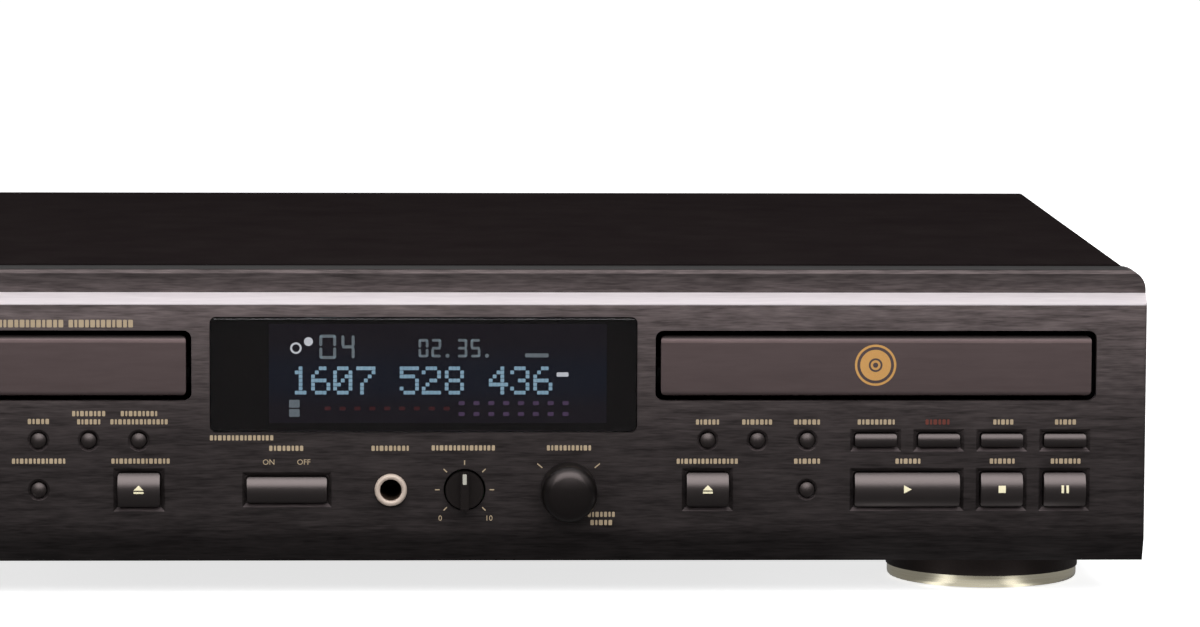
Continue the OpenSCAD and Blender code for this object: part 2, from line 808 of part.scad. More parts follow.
module trim_strip() color(silver) intersection() {
    along_x(-panel_w / 2, panel_w)
        polygon([[face_y, field_z1], [band_y, field_z1], [band_y, field_z1 + trim_h],
                 [face_y, field_z1 + trim_edge]]);
    translate([0, 0, panel_z0]) linear_extrude(panel_h) panel_plan();
}

module display_window() color(black) translate([0, 0, window_z]) {
    soft_plate(face_y - window_proud, window_proud + panel_wall + window_flange_t / 2,
               window_w - 2 * window_gap, window_h - 2 * window_gap, window_r - window_gap, window_edge_r);
    along_y(face_y + panel_wall, window_flange_t)
        rounded_rect(window_w + 2 * window_lip, window_h + 2 * window_lip, window_r);
}

module display_tube() color([0.1, 0.12, 0.16]) translate([display_x, 0, window_z]) {
    plate = [display_w + 2 * tube_rim, display_h + 2 * tube_rim_h];
    for (y = [board_y - tube_t, board_y - tube_plate_t])
        along_y(y, tube_plate_t) square(plate, center = true);
    along_y(board_y - tube_t + tube_plate_t / 2, tube_t - tube_plate_t)
        square(plate - 2 * [tube_waist, tube_waist], center = true);
}

module front_board() color(green) difference() {
    union() {
        block([-board_half, board_y, board_z0], [board_half, board_y + board_t, board_z1]);
        block([-tab_half, board_y, board_z0], [tab_half, board_y + board_t, tab_z1]);
        for (k = panel_keys) translate([k[1], 0, k[2]]) {
            along_y(board_y - switch_d, switch_d + board_t / 2) square(switch_w, center = true);
            bar_y(board_y - switch_d - plunger_d, board_y - switch_d + cut, stem_r + plunger_rim);
        }
        for (x = [level_x, jog_x]) translate([x, 0, row_low_z])
            along_y(control_y0, board_y - control_y0 + board_t / 2) square(control_w, center = true);
    }
    for (x = [level_x, jog_x]) translate([x, 0, row_low_z])
        bar_y(control_y0 - cut, board_y + board_t + cut, shaft_r + bearing_gap);
    translate([jack_x, 0, row_low_z])
        bar_y(board_y - cut, board_y + board_t + cut, jack_barrel_r + sheet_gap);
    for (p = boss_points) translate([p[0], 0, p[1]])
        bar_y(board_y - cut, board_y + board_t + cut, screw_hole_r);
}

module headphone_socket() color(gold) translate([jack_x, 0, row_low_z]) difference() {
    union() {
        // The ring on the face has a rounded front edge
        translate([0, face_y, 0]) rotate([90, 0, 0]) rotate_extrude() {
            square([jack_ring_r, ring_round]);
            translate([jack_ring_r - ring_round, ring_round]) circle(ring_round);
        }
        bar_y(face_y - ring_round / 2, face_y + panel_wall + cut / 2, jack_neck_r);
        along_y(face_y + panel_wall, board_y - face_y - panel_wall) square(jack_body_w, center = true);
        bar_y(board_y - cut, jack_end_y, jack_barrel_r);
    }
    bar_y(face_y - panel_wall, jack_end_y - jack_end_t, jack_bore / 2);
    translate([0, face_y - panel_wall, 0]) rotate([-90, 0, 0])
        cylinder(r1 = jack_bore / 2 + jack_flare, r2 = jack_bore / 2, h = jack_mouth_y - face_y + panel_wall);
}

// Keys and knobs

module round_key(k) translate([k[1], 0, k[2]]) {
    r = k[3] / 2;
    sag = 2 * key_sag * r;
    dome_r = (pow(r + key_edge, 2) + sag * sag) / (2 * sag);
    front = face_y - key_stand;
    intersection() {
        bar_y(front - sag, front + cut, r);
        translate([0, front - sag + dome_r, 0]) sphere(dome_r);
    }
    bar_y(front, flange_y + flange_t, r);
    bar_y(flange_y, flange_y + flange_t, r + key_gap + flange_w);
    bar_y(flange_y, stem_y1, stem_r);
}

module bar_key(k) translate([k[1], 0, k[2]]) {
    w = k[3];
    h = k[4];
    sag = key_sag * h;
    bow_r = (pow(h / 2 + key_edge, 2) + sag * sag) / (2 * sag);
    front = face_y - key_stand;
    intersection() {
        along_y(front - sag, sag + cut) rounded_rect(w, h, key_corner);
        translate([-w, front - sag + bow_r, 0]) rotate([0, 90, 0]) cylinder(r = bow_r, h = 2 * w);
    }
    along_y(front, flange_y - front + flange_t) rounded_rect(w, h, key_corner);
    along_y(flange_y, flange_t)
        square([w + 2 * (key_gap + flange_w), h + 2 * (key_gap + flange_w)], center = true);
    bar_y(flange_y, stem_y1, stem_r);
}

module panel_key(k) color(dark) {
    if (k[5] == "round") round_key(k);
    else bar_key(k);
}

module level_knob() color(black) translate([level_x, 0, row_low_z]) {
    bar_y(face_y - level_base, control_y0 - slide_gap, level_d / 2);
    intersection() {
        bar_y(face_y - level_base - level_bar_d, face_y, level_d / 2);
        along_y(face_y - level_base - level_bar_d, level_base + level_bar_d)
            square([level_bar_w, level_d], center = true);
    }
    bar_y(face_y, board_y, shaft_r);
}

module jog_knob() color(dark) translate([jog_x, 0, row_low_z]) {
    reach = jog_proud - jog_lift;
    r = jog_d / 2;
    translate([0, face_y - jog_lift, 0]) rotate([90, 0, 0]) rotate_extrude() {
        square([r, reach - jog_round]);
        square([r - jog_round, reach]);
        translate([r - jog_round, reach - jog_round]) circle(jog_round);
    }
    bar_y(face_y - jog_lift - cut, board_y, shaft_r);
}

// Boards and sockets

// A square-cornered piece on a board, and a round can: each is soldered in, so it reaches into the board
module board_block(x, y, w, d, h, lift = 0)
    translate([x, y, lift > 0 ? board_top + lift : board_top - board_t / 2])
        linear_extrude(lift > 0 ? h : h + board_t / 2) square([w, d], center = true);

module board_can(x, y, r, h) translate([x, y, board_top - board_t / 2]) cylinder(r = r, h = h + board_t / 2);

module main_board() color(green) {
    mid = (main_board_y0 + main_board_y1) / 2;
    block([-main_board_half, main_board_y0, main_board_z], [main_board_half, main_board_y1, board_top]);
    for (x = chip_xs) board_block(x, mid, chip_w, chip_w, chip_h);
    for (i = [-3:2]) board_can(i * can_pitch, main_board_y0 + can_back, can_r, can_h);
    for (i = [-1:1]) board_block(i * plug_pitch, main_board_y0 + plug_d / 2 + 1, plug_w, plug_d, plug_h);
}

module power_board() color([0.6, 0.5, 0.3]) {
    y0 = power_board_y0;
    block([-power_board_half, y0, main_board_z], [power_board_half, power_board_y1, board_top]);
    // Transformer: core plates with a longer winding
    board_block(transformer_x, y0 + transformer_back, core_w, core_d, core_h);
    board_block(transformer_x, y0 + transformer_back, coil_w, coil_d, coil_h, coil_lift);
    // Smoothing capacitors
    for (i = [0:1]) board_can(big_can_x + i * big_can_pitch, y0 + big_can_back, big_can_r, big_can_h);
    for (i = [0:2]) board_can(small_can_x + i * small_can_pitch, y0 + small_can_back, small_can_r, small_can_h);
    // Heat sink with upright fins
    board_block(0, y0 + sink_back + sink_t / 2, sink_w, sink_t, sink_h);
    for (i = [-4:4])
        board_block(i * fin_pitch, y0 + sink_back + sink_t + (fin_len - cut) / 2, fin_t, fin_len + cut, sink_h);
}

module phono_stack(x) {
    difference() {
        union() {
            block([x - block_w / 2, rear_y - sheet - block_d, board_top],
                  [x + block_w / 2, rear_y - sheet, board_top + block_h]);
            for (z = phono_zs) translate([x, 0, z]) {
                bar_y(rear_y - sheet - cut, rear_y + phono_collar_t, phono_collar_r);
                bar_y(rear_y - sheet - cut, rear_y + socket_reach, phono_r);
            }
        }
        for (z = phono_zs) translate([x, 0, z]) {
            bar_y(rear_y - block_d + 2, rear_y + socket_reach + cut, phono_pin_r);
            bar_y(rear_y + socket_reach - 1, rear_y + socket_reach + cut, phono_r - phono_lip);
        }
    }
}

module phono_sockets() color(white) for (x = analog_xs) phono_stack(x);

module digital_sockets() color(black) {
    phono_stack(coax_x);
    for (x = optical_xs) translate([x, 0, optical_z]) difference() {
        union() {
            along_y(rear_y - sheet - optical_d, optical_d) square([optical_w, optical_h], center = true);
            along_y(rear_y - sheet - cut, sheet + cut + optical_proud)
                square([optical_w - optical_rim - sheet_gap, optical_h - optical_rim - sheet_gap],
                       center = true);
        }
        along_y(rear_y - optical_depth, optical_depth + 2 * cut) square(optical_port, center = true);
    }
}

module mains_inlet() translate([inlet_x, 0, inlet_z]) {
    floor_y = rear_y + inlet_rim - inlet_port_d;
    color(black) difference() {
        union() {
            along_y(rear_y - inlet_d, inlet_d + cut) square([inlet_w, inlet_h], center = true);
            along_y(rear_y, inlet_rim) rounded_rect(inlet_w + 2 * inlet_rim_w, inlet_h + 2 * inlet_rim_h, 2);
        }
        along_y(floor_y, inlet_port_d + cut) rounded_rect(inlet_port_w, inlet_port_h, inlet_port_h / 2 - 0.1);
    }
    color(steel) for (s = [-1, 1]) translate([s * inlet_pin_x, 0, 0])
        bar_y(floor_y - cut, floor_y + inlet_pin_len, inlet_pin_r);
}

// Disc decks, drawn for a deck whose centre line is at x = 0

module loader_frames() color(black) both_decks() {
    base_z0 = loader_base - loader_base_t;
    runner_top = runner_z + runner_h;
    pin_room = mech_pin_r + slide_gap;
    difference() {
        union() {
            block([-loader_half, loader_y0, base_z0], [loader_half, loader_y1, loader_base]);
            for (s = [0, 1]) mirror([s, 0, 0]) {
                block([loader_in, loader_y0, base_z0], [loader_half, loader_y1, loader_top]);
                block([tray_half - ledge_grip, loader_y0, runner_z - slide_gap - ledge_t],
                      [loader_in + cut, loader_y1, runner_z - slide_gap]);
                block([tray_half + ledge_gap, loader_y0, runner_top + slide_gap],
                      [loader_in + cut, loader_y1, runner_top + slide_gap + ledge_t]);
            }
            for (x = [-1, 1], y = [loader_y0 + leg_inset, loader_y1 - leg_inset])
                translate([x * (loader_half - leg_inset), y, pan_top])
                    cylinder(r = leg_r, h = base_z0 - pan_top + cut);
            // Post of the drive gear
            translate([gear_x, gear_y, loader_base - cut]) {
                cylinder(r = post_foot_r, h = gear_z0 - slide_gap - loader_base + cut);
                cylinder(r = post_r, h = gear_z0 + gear_h - loader_base + cut);
            }
        }
        // Room for the lifting mechanism, and upright slots for its guide pins
        block([-mech_half - mech_room, mech_y0 - mech_room, base_z0 - cut],
              [mech_half + mech_room, mech_y1 + mech_room, loader_base + cut]);
        for (y = mech_pin_ys) translate([-loader_half - cut, y - pin_room, mech_z + mech_t / 2 - pin_room])
            cube([2 * loader_half + 2 * cut, 2 * pin_room, lift + 2 * pin_room]);
    }
    // Loading motor under the front of the base
    translate([0, gear_y, base_z0 - loading_motor_h]) cylinder(r = loading_motor_r, h = loading_motor_h + cut);
}

module clamp_bridges() color(steel) both_decks() translate([0, disc_y, loader_top]) difference() {
    translate([-loader_half, -bridge_half_y, 0]) cube([2 * loader_half, 2 * bridge_half_y, bridge_t]);
    translate([0, 0, -cut]) cylinder(r = bridge_hole_r, h = bridge_t + 2 * cut);
}

module clamp_puck(side) color(black) on_side(side) translate([0, disc_y, 0]) difference() {
    flange_z = loader_top + bridge_t + slide_gap;
    union() {
        translate([0, 0, puck_z0]) cylinder(r = puck_r, h = puck_t);
        translate([0, 0, puck_z0]) cylinder(r = puck_neck_r, h = flange_z - puck_z0 + cut);
        translate([0, 0, flange_z]) cylinder(r = puck_flange_r, h = puck_flange_t);
    }
    translate([0, 0, puck_z0 - cut]) cylinder(r = puck_recess_r, h = cone_h + cut);
}

// Flat outline of the drawer's body
module tray_outline(inset) {
    translate([-tray_half + inset, drawer_y0 + inset])
        square([2 * (tray_half - inset), tray_y1 - drawer_y0 - 2 * inset]);
}

// Flat slot for the turntable and the laser, open to the back
module tray_slot(extra) {
    translate([0, disc_y]) circle(tray_slot_half + extra);
    translate([-tray_slot_half - extra, disc_y])
        square([2 * (tray_slot_half + extra), tray_y1 - disc_y + cut]);
}

// A rack: straight-sided teeth facing the middle of the deck
function rack_tooth(i) = let (
        mid = gear_y + (i + 0.5) * gear_pitch,
        at_root = gear_pitch / 4 - tooth_slack + 1.25 * gear_module * tan(pressure),
        at_tip = gear_pitch / 4 - tooth_slack - gear_module * tan(pressure))
    [[rack_back, mid - at_root], [rack_line - gear_module, mid - at_tip],
     [rack_line - gear_module, mid + at_tip], [rack_back, mid + at_root]];

module rack() {
    y0 = gear_y + (rack_from - 0.5) * gear_pitch;
    y1 = gear_y + (rack_to + 1.5) * gear_pitch;
    teeth = [for (i = [rack_from:rack_to]) for (p = rack_tooth(i)) p];
    translate([0, 0, rack_z0]) linear_extrude(rack_h + cut)
        polygon(concat([[rack_back + rack_w, y0], [rack_back, y0]], teeth,
                       [[rack_back, y1], [rack_back + rack_w, y1]]));
}

module tray(side) color(black) on_side(side) {
    difference() {
        union() {
            translate([0, 0, tray_z0]) linear_extrude(tray_top - tray_z0) tray_outline(0);
            for (s = [0, 1]) mirror([s, 0, 0]) {
                block([tray_half - skirt_w, drawer_y0, runner_z], [tray_half, tray_y1, tray_z0 + cut]);
                block([tray_half - cut, drawer_y0 + runner_start, runner_z],
                      [tray_half + runner_w, tray_y1, runner_z + runner_h]);
            }
        }
        translate([0, disc_y, well_z]) cylinder(r = well_r, h = well_depth + cut);
        translate([0, disc_y, well_z - small_well_drop]) cylinder(r = small_well_r, h = well_depth);
        translate([0, 0, tray_z0 - cut]) linear_extrude(tray_top - tray_z0 + 2 * cut) tray_slot(0);
        // Hollow under the rim, outside the well
        translate([0, 0, tray_z0 - cut]) linear_extrude(tray_top - tray_skin - tray_z0 + cut) difference() {
            tray_outline(rim_w);
            translate([0, disc_y]) circle(well_r + tray_skin);
            tray_slot(tray_skin);
            translate([rack_line - gear_module - rack_land, drawer_y0])
                square([rack_back + rack_w - rack_line + gear_module + 2 * rack_land, tray_y1 - drawer_y0]);
        }
    }
    rack();
}

module tray_front(side) color(dark) on_side(side) translate([0, 0, drawer_z])
    soft_plate(face_y - drawer_proud, drawer_front_t, drawer_face_w, drawer_face_h,
               drawer_corner_r, drawer_edge_r);

// Involute gear that meshes with the rack
function flank(r) = (PI / 2 / gear_teeth - tooth_slack / gear_r) * 180 / PI
    + (tan(pressure) * 180 / PI - pressure)
    - (tan(acos(gear_base / r)) * 180 / PI - acos(gear_base / r));
flank_steps = 5;
flank_rs = [for (i = [0:flank_steps]) gear_base + (gear_tip - gear_base) * i / flank_steps];

function gear_tooth(i) = let (mid = i * 360 / gear_teeth) concat(
    [[gear_root, mid - flank(gear_base)]],
    [for (r = flank_rs) [r, mid - flank(r)]],
    [for (j = [flank_steps:-1:0]) [flank_rs[j], mid + flank(flank_rs[j])]],
    [[gear_root, mid + flank(gear_base)]]);

module tray_gear(side) color(white) on_side(side) translate([gear_x, gear_y, gear_z0]) difference() {
    linear_extrude(gear_h)
        polygon([for (i = [0:gear_teeth - 1]) for (p = gear_tooth(i)) [p[0] * cos(p[1]), p[0] * sin(p[1])]]);
    translate([0, 0, -cut]) cylinder(r = post_r + bearing_gap, h = gear_h + 2 * cut);
}

module mech_plate(side) color(steel) on_side(side) {
    difference() {
        union() {
            block([-mech_half, mech_y0, mech_z], [mech_half, mech_y1, mech_z + mech_t]);
            for (x = [-rod_x, rod_x], y = bracket_ys)
                block([x - bracket_half, y, mech_z + mech_t / 2],
                      [x + bracket_half, y + bracket_t, rod_z + bracket_top]);
            for (y = mech_pin_ys) translate([-loader_half, y, mech_z + mech_t / 2]) rotate([0, 90, 0])
                cylinder(r = mech_pin_r, h = 2 * loader_half);
            translate([0, disc_y, mech_z - motor_h]) cylinder(r = motor_r, h = motor_h + mech_t / 2);
            for (x = [-rod_x, rod_x]) translate([x, 0, rod_z])
                bar_y(bracket_ys[0], bracket_ys[1] + bracket_t, rod_r);
        }
        // Bearing of the spindle, and a window for the laser
        translate([0, disc_y, mech_z - motor_h + spindle_seat])
            cylinder(r = spindle_r + bearing_gap, h = motor_h + mech_t);
        block([-rod_x + laser_gap, bracket_ys[0] + bracket_t + 2, mech_z - cut],
              [rod_x - laser_gap, bracket_ys[1] - 2, mech_z + mech_t + cut]);
        for (s = [-1, 1]) translate([s * plate_window_x, disc_y + plate_window_y, mech_z - cut])
            linear_extrude(mech_t + 2 * cut) rounded_rect(plate_window_w, plate_window_len, plate_window_r);
    }
}

module turntable(side) color(black) on_side(side) translate([0, disc_y, 0]) {
    spindle_z0 = mech_z - motor_h + spindle_seat + cut;
    translate([0, 0, spindle_z0]) cylinder(r = spindle_r, h = hub_top + cone_h / 2 - spindle_z0);
    translate([0, 0, hub_top - hub_t]) cylinder(r = hub_r, h = hub_t);
    translate([0, 0, hub_top]) cylinder(r1 = cone_r, r2 = cone_tip_r, h = cone_h);
}

module laser_sled(side) color(black) on_side(side) difference() {
    union() {
        block([-sled_half, sled_y0, sled_z0], [sled_half, sled_y0 + sled_len, sled_z0 + sled_h]);
        translate([0, sled_y0 + lens_back, sled_z0 + sled_h]) {
            translate([0, 0, -cut]) cylinder(r = lens_r + lens_rim, h = lens_rim_h + cut);
            intersection() {
                cylinder(r = lens_r, h = lens_dome_r);
                translate([0, 0, -lens_sink]) sphere(lens_dome_r);
            }
        }
    }
    for (x = [-rod_x, rod_x]) translate([x, 0, rod_z])
        bar_y(sled_y0 - cut, sled_y0 + sled_len + cut, rod_r + bearing_gap);
}

chassis_pan();
rear_panel();
top_cover();
front_panel();
trim_strip();
display_window();
display_tube();
front_board();
feet();
foot_rings();
case_screws();
main_board();
power_board();
mains_inlet();
phono_sockets();
digital_sockets();
headphone_socket();
level_knob();
jog_knob();
loader_frames();
clamp_bridges();
for (k = panel_keys) panel_key(k);
for (s = sides) {
    tray(s[1]);
    tray_front(s[1]);
    mech_plate(s[1]);
    turntable(s[1]);
    laser_sled(s[1]);
    tray_gear(s[1]);
    clamp_puck(s[1]);
}
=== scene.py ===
import math

import bmesh
import bpy
from mathutils import Matrix, Vector


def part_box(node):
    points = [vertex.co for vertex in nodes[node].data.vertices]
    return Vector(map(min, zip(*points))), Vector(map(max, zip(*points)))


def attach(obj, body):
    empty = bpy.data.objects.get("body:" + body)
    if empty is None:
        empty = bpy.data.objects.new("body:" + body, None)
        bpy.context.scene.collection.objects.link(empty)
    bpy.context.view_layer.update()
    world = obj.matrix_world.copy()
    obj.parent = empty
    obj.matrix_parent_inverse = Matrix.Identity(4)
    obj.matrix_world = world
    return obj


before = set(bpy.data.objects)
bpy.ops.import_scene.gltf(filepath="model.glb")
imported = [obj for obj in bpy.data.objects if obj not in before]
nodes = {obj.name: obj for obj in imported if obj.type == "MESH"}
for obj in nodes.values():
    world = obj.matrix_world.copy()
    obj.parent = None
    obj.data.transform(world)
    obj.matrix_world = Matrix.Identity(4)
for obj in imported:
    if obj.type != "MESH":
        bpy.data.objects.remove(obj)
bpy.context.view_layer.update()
scene = bpy.context.scene
scene.view_settings.view_transform = "Standard"

# Places on the part. Lengths are in mm unless a name says otherwise. X runs right, Y to the back, Z up

MM = 0.001
FACE_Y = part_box("front_panel")[0].y / MM
PANEL_LOW_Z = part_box("front_panel")[0].z / MM
PANEL_TOP_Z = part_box("front_panel")[1].z / MM
TUBE_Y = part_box("display_tube")[0].y / MM
TRAY_FACE_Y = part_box("right_tray_front")[0].y / MM
TRAY_TOP_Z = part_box("right_tray_front")[1].z / MM
REAR_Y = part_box("rear_panel")[1].y / MM
BOARD_THICK = 1.6
BOARD_TOP_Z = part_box("main_board")[0].z / MM + BOARD_THICK
FRONT_BOARD_Y = -129.5
JACK_X = -10
LEVEL_X = 12.4
JOG_X = 44
ROW_LOW_Z = 33.4
SIDES = {"left_": -1, "right_": 1}


# Small tools for shader trees


def linear(red, green, blue):
    """A screen colour, 0 to 255, as the linear colour that shaders use."""
    shares = [value / 255 for value in (red, green, blue)]
    values = [share / 12.92 if share <= 0.04045 else ((share + 0.055) / 1.055) ** 2.4 for share in shares]
    return values + [1.0]


def place(tree, kind, inputs=None, **settings):
    """Adds a node. An input is either a plain value or the socket that feeds it."""
    node = tree.nodes.new(kind)
    for name, value in settings.items():
        setattr(node, name, value)
    for key, value in (inputs or {}).items():
        if isinstance(value, bpy.types.NodeSocket):
            tree.links.new(value, node.inputs[key])
        else:
            node.inputs[key].default_value = value
    return node


def math_node(tree, operation, first, second=0.0):
    return place(tree, "ShaderNodeMath", {0: first, 1: second}, operation=operation).outputs[0]


def vector_node(tree, operation, first, second):
    return place(tree, "ShaderNodeVectorMath", {0: first, 1: second}, operation=operation).outputs[0]


def noise_node(tree, spot, scale, detail):
    values = {"Vector": spot, "Scale": scale, "Detail": detail}
    return place(tree, "ShaderNodeTexNoise", values).outputs[0]


def average(tree, first, second):
    return math_node(tree, "MULTIPLY", math_node(tree, "ADD", first, second), 0.5)


def spread(tree, mask, low, high, start=0.0, end=1.0):
    """Takes a mask that runs from start to end over to the values low to high."""
    values = {"Value": mask, "From Min": start, "From Max": end, "To Min": low, "To Max": high}
    return place(tree, "ShaderNodeMapRange", values).outputs[0]


def step_at(tree, value, middle, softness):
    """Rises from 0 to 1 where a place in metres passes the middle, which is given in mm like the softness."""
    return spread(tree, value, 0, 1, (middle - softness) * MM, (middle + softness) * MM)


def mix_colours(tree, mask, first, second, way="MIX"):
    node = place(tree, "ShaderNodeMix", {0: mask, 6: first, 7: second}, data_type="RGBA", blend_type=way)
    return node.outputs[2]


def part_spot(tree):
    """A point in the part's own frame, in metres."""
    return place(tree, "ShaderNodeTexCoord").outputs["Object"]


def part_place(tree):
    """X, Y and Z of a point in the part's own frame, in metres."""
    return place(tree, "ShaderNodeSeparateXYZ", {0: part_spot(tree)}).outputs


def upward_facing(tree):
    """How far a face looks up: 1 for a level top and 0 for an upright wall."""
    facing = place(tree, "ShaderNodeNewGeometry").outputs["Normal"]
    return place(tree, "ShaderNodeSeparateXYZ", {0: facing}).outputs[2]


# Effects that several finishes share, each a node group that puts out a mask from 0 to 1

STREAK_RANGE = (0.34, 0.66)
GRAIN_RANGE = (0.3, 0.7)
DUST_LEVEL_RANGE = (0.6, 1.0)
DUST_PATCH_RANGE = (0.35, 0.75)
BEVEL_RISE = (0.3, 0.6)
BEVEL_FALL = (0.8, 0.95)


def start_group(name, inputs):
    """An empty shader node group with named inputs and a mask as its output, and its two end nodes."""
    group = bpy.data.node_groups.new(name, "ShaderNodeTree")
    for label, kind, value in inputs:
        socket = group.interface.new_socket(label, in_out="INPUT", socket_type="NodeSocket" + kind)
        socket.default_value = value
    group.interface.new_socket("Mask", in_out="OUTPUT", socket_type="NodeSocketFloat")
    return group, place(group, "NodeGroupInput").outputs, place(group, "NodeGroupOutput").inputs


def make_streaks():
    """Brushed lines: Stretch is the number of streaks per metre along X, Y and Z."""
    group, given, out = start_group("brushed_streaks", [("Stretch", "Vector", (90, 1300, 1300))])
    long_spot = vector_node(group, "MULTIPLY", part_spot(group), given["Stretch"])
    coarse = noise_node(group, long_spot, 1, 2)
    fine = noise_node(group, long_spot, 3.1, 3)
    group.links.new(spread(group, average(group, coarse, fine), 0, 1, *STREAK_RANGE), out["Mask"])
    return group


def make_grain():
    """Speckle of any size, from paint orange peel to soft blotches: Scale is grains per metre."""
    group, given, out = start_group("speckle_grain", [("Scale", "Float", 2500), ("Detail", "Float", 2)])
    speckle = noise_node(group, part_spot(group), given["Scale"], given["Detail"])
    group.links.new(spread(group, speckle, 0, 1, *GRAIN_RANGE), out["Mask"])
    return group


def make_height_tone():
    """Runs from 0 at height Low to 1 at height High, both in metres."""
    group, given, out = start_group("height_tone", [("Low", "Float", 0.0), ("High", "Float", 0.1)])
    height = part_place(group)[2]
    group.links.new(spread(group, height, 0, 1, given["Low"], given["High"]), out["Mask"])
    return group


def make_turned():
    """Fine rings turned round an axis along Y through Centre: Rings is their number per metre."""
    inputs = [("Centre", "Vector", (0, 0, 0)), ("Rings", "Float", 2500)]
    group, given, out = start_group("turned_rings", inputs)
    off_axis = vector_node(group, "SUBTRACT", part_spot(group), given["Centre"])
    flat = vector_node(group, "MULTIPLY", off_axis, (1, 0, 1))
    radius = place(group, "ShaderNodeVectorMath", {0: flat}, operation="LENGTH").outputs["Value"]
    values = {"W": math_node(group, "MULTIPLY", radius, given["Rings"]), "Scale": 1, "Detail": 2}
    rings = place(group, "ShaderNodeTexNoise", values, noise_dimensions="1D").outputs[0]
    group.links.new(spread(group, rings, 0, 1, *GRAIN_RANGE), out["Mask"])
    return group


def make_dust():
    """Dust that has settled on faces that look up, in soft patches."""
    group, given, out = start_group("settled_dust", [("Amount", "Float", 0.2), ("Scale", "Float", 60)])
    lying = spread(group, upward_facing(group), 0, 1, *DUST_LEVEL_RANGE)
    patches = spread(group, noise_node(group, part_spot(group), given["Scale"], 6), 0, 1, *DUST_PATCH_RANGE)
    level = math_node(group, "MULTIPLY", lying, patches)
    group.links.new(math_node(group, "MULTIPLY", level, given["Amount"]), out["Mask"])
    return group


def make_upward_bevel():
    """Picks out faces that slant up and lie below height Top, such as the lower lips of key holes, where
    light is painted on them.
    """
    group, given, out = start_group("upward_bevel", [("Top", "Float", 0.09)])
    upward = upward_facing(group)
    rise = spread(group, upward, 0, 1, *BEVEL_RISE)
    fall = spread(group, upward, 1, 0, *BEVEL_FALL)
    slanting = math_node(group, "MULTIPLY", rise, fall)
    below = math_node(group, "LESS_THAN", part_place(group)[2], given["Top"])
    group.links.new(math_node(group, "MULTIPLY", slanting, below), out["Mask"])
    return group


STREAKS = make_streaks()
GRAIN = make_grain()
HEIGHT_TONE = make_height_tone()
TURNED = make_turned()
DUST = make_dust()
UPWARD_BEVEL = make_upward_bevel()


def use(tree, group, **values):
    """Places a shared effect in a material and returns its mask."""
    return place(tree, "ShaderNodeGroup", values, node_tree=group).outputs["Mask"]


# Finishes for whole pieces. Colours are screen colours from 0 to 255, for the dark and light ends of a mask

BLOTCH_SCALE = 35
DUST_COLOUR = (150, 146, 138)
TURNED_RINGS = 2600


def start_finish(name, metallic=0.0, specular=0.5):
    material = bpy.data.materials.new(name)
    material.use_nodes = True
    shader = material.node_tree.nodes["Principled BSDF"]
    shader.inputs["Metallic"].default_value = metallic
    shader.inputs["Specular IOR Level"].default_value = specular
    return material, material.node_tree, shader


def connect(tree, shader, colour, mask, rough, bump_height=0.0, bump_strength=0.2):
    """Feeds a shader with a colour, and by the mask with roughness between two values and relief in mm."""
    tree.links.new(colour, shader.inputs["Base Color"])
    tree.links.new(spread(tree, mask, rough[0], rough[1]), shader.inputs["Roughness"])
    if bump_height:
        values = {"Height": mask, "Distance": bump_height * MM, "Strength": bump_strength}
        tree.links.new(place(tree, "ShaderNodeBump", values).outputs[0], shader.inputs["Normal"])


def moulded(name, dark, light, rough, scale=2500, metallic=0.0, specular=0.5, bump=0.02, dust=0.0):
    """A speckled finish for moulded plastic, paint and plated sheet."""
    material, tree, shader = start_finish(name, metallic, specular)
    mask = use(tree, GRAIN, Scale=scale)
    blotch = use(tree, GRAIN, Scale=BLOTCH_SCALE, Detail=4)
    colour = mix_colours(tree, average(tree, mask, blotch), linear(*dark), linear(*light))
    if dust:
        colour = mix_colours(tree, use(tree, DUST, Amount=dust), colour, linear(*DUST_COLOUR))
    connect(tree, shader, colour, mask, rough, bump)
    return material


def satin(name, dark, light, rough, specular):
    """Fine satin plastic for keys."""
    return moulded(name, dark, light, rough, 3200, specular=specular, bump=0.004)


def ink(name, dark, light, rough=(0.42, 0.56)):
    """Raised print."""
    return moulded(name, dark, light, rough, 5200, specular=0.3, bump=0.004)


def brushed(name, dark, light, rough, stretch, metallic=1.0, bump=0.01):
    """A brushed or drawn metal finish."""
    material, tree, shader = start_finish(name, metallic)
    mask = use(tree, STREAKS, Stretch=stretch)
    connect(tree, shader, mix_colours(tree, mask, linear(*dark), linear(*light)), mask, rough, bump)
    return material


def turned(name, dark, light, rough, centre_x, specular):
    """A finish turned in rings round the axis of a knob in the lower row."""
    material, tree, shader = start_finish(name, specular=specular)
    mask = use(tree, TURNED, Centre=(centre_x * MM, 0, ROW_LOW_Z * MM), Rings=TURNED_RINGS)
    connect(tree, shader, mix_colours(tree, mask, linear(*dark), linear(*light)), mask, rough, 0.01)
    return material


# The brushed panel and drawer fronts. Each stop is (height, screen grey), and the greys paint light and shade
# by height

PANEL_METALLIC = 0.2
PANEL_SPECULAR = 0.12
PANEL_ROUGH = (0.36, 0.5)
PANEL_STREAKS = (60, 620, 620)
PANEL_BUMP = 0.01
PANEL_BUMP_STRENGTH = 0.12
# Painted light: lips of key holes that slant up are made this much lighter, below this height
LIP_PAINTED_LIGHT_GAIN = (2.2, 2.15, 2.2, 1.0)
LIP_TOP_Z = 90
# Painted light and shade: lighter towards the top as if lit from above, darker on the lower bevel that faces
# down, a painted highlight on the top chamfer, and a dark top face
PANEL_PAINTED_LIGHT_STOPS = (
    (11, 33), (100.2, 24), (19, 37), (21.5, 45), (34, 48), (48.5, 53), (60, 66), (79, 87), (89, 98),
    (92.5, 88), (98.8, 66), (99.1, 92), (100.0, 92),
)
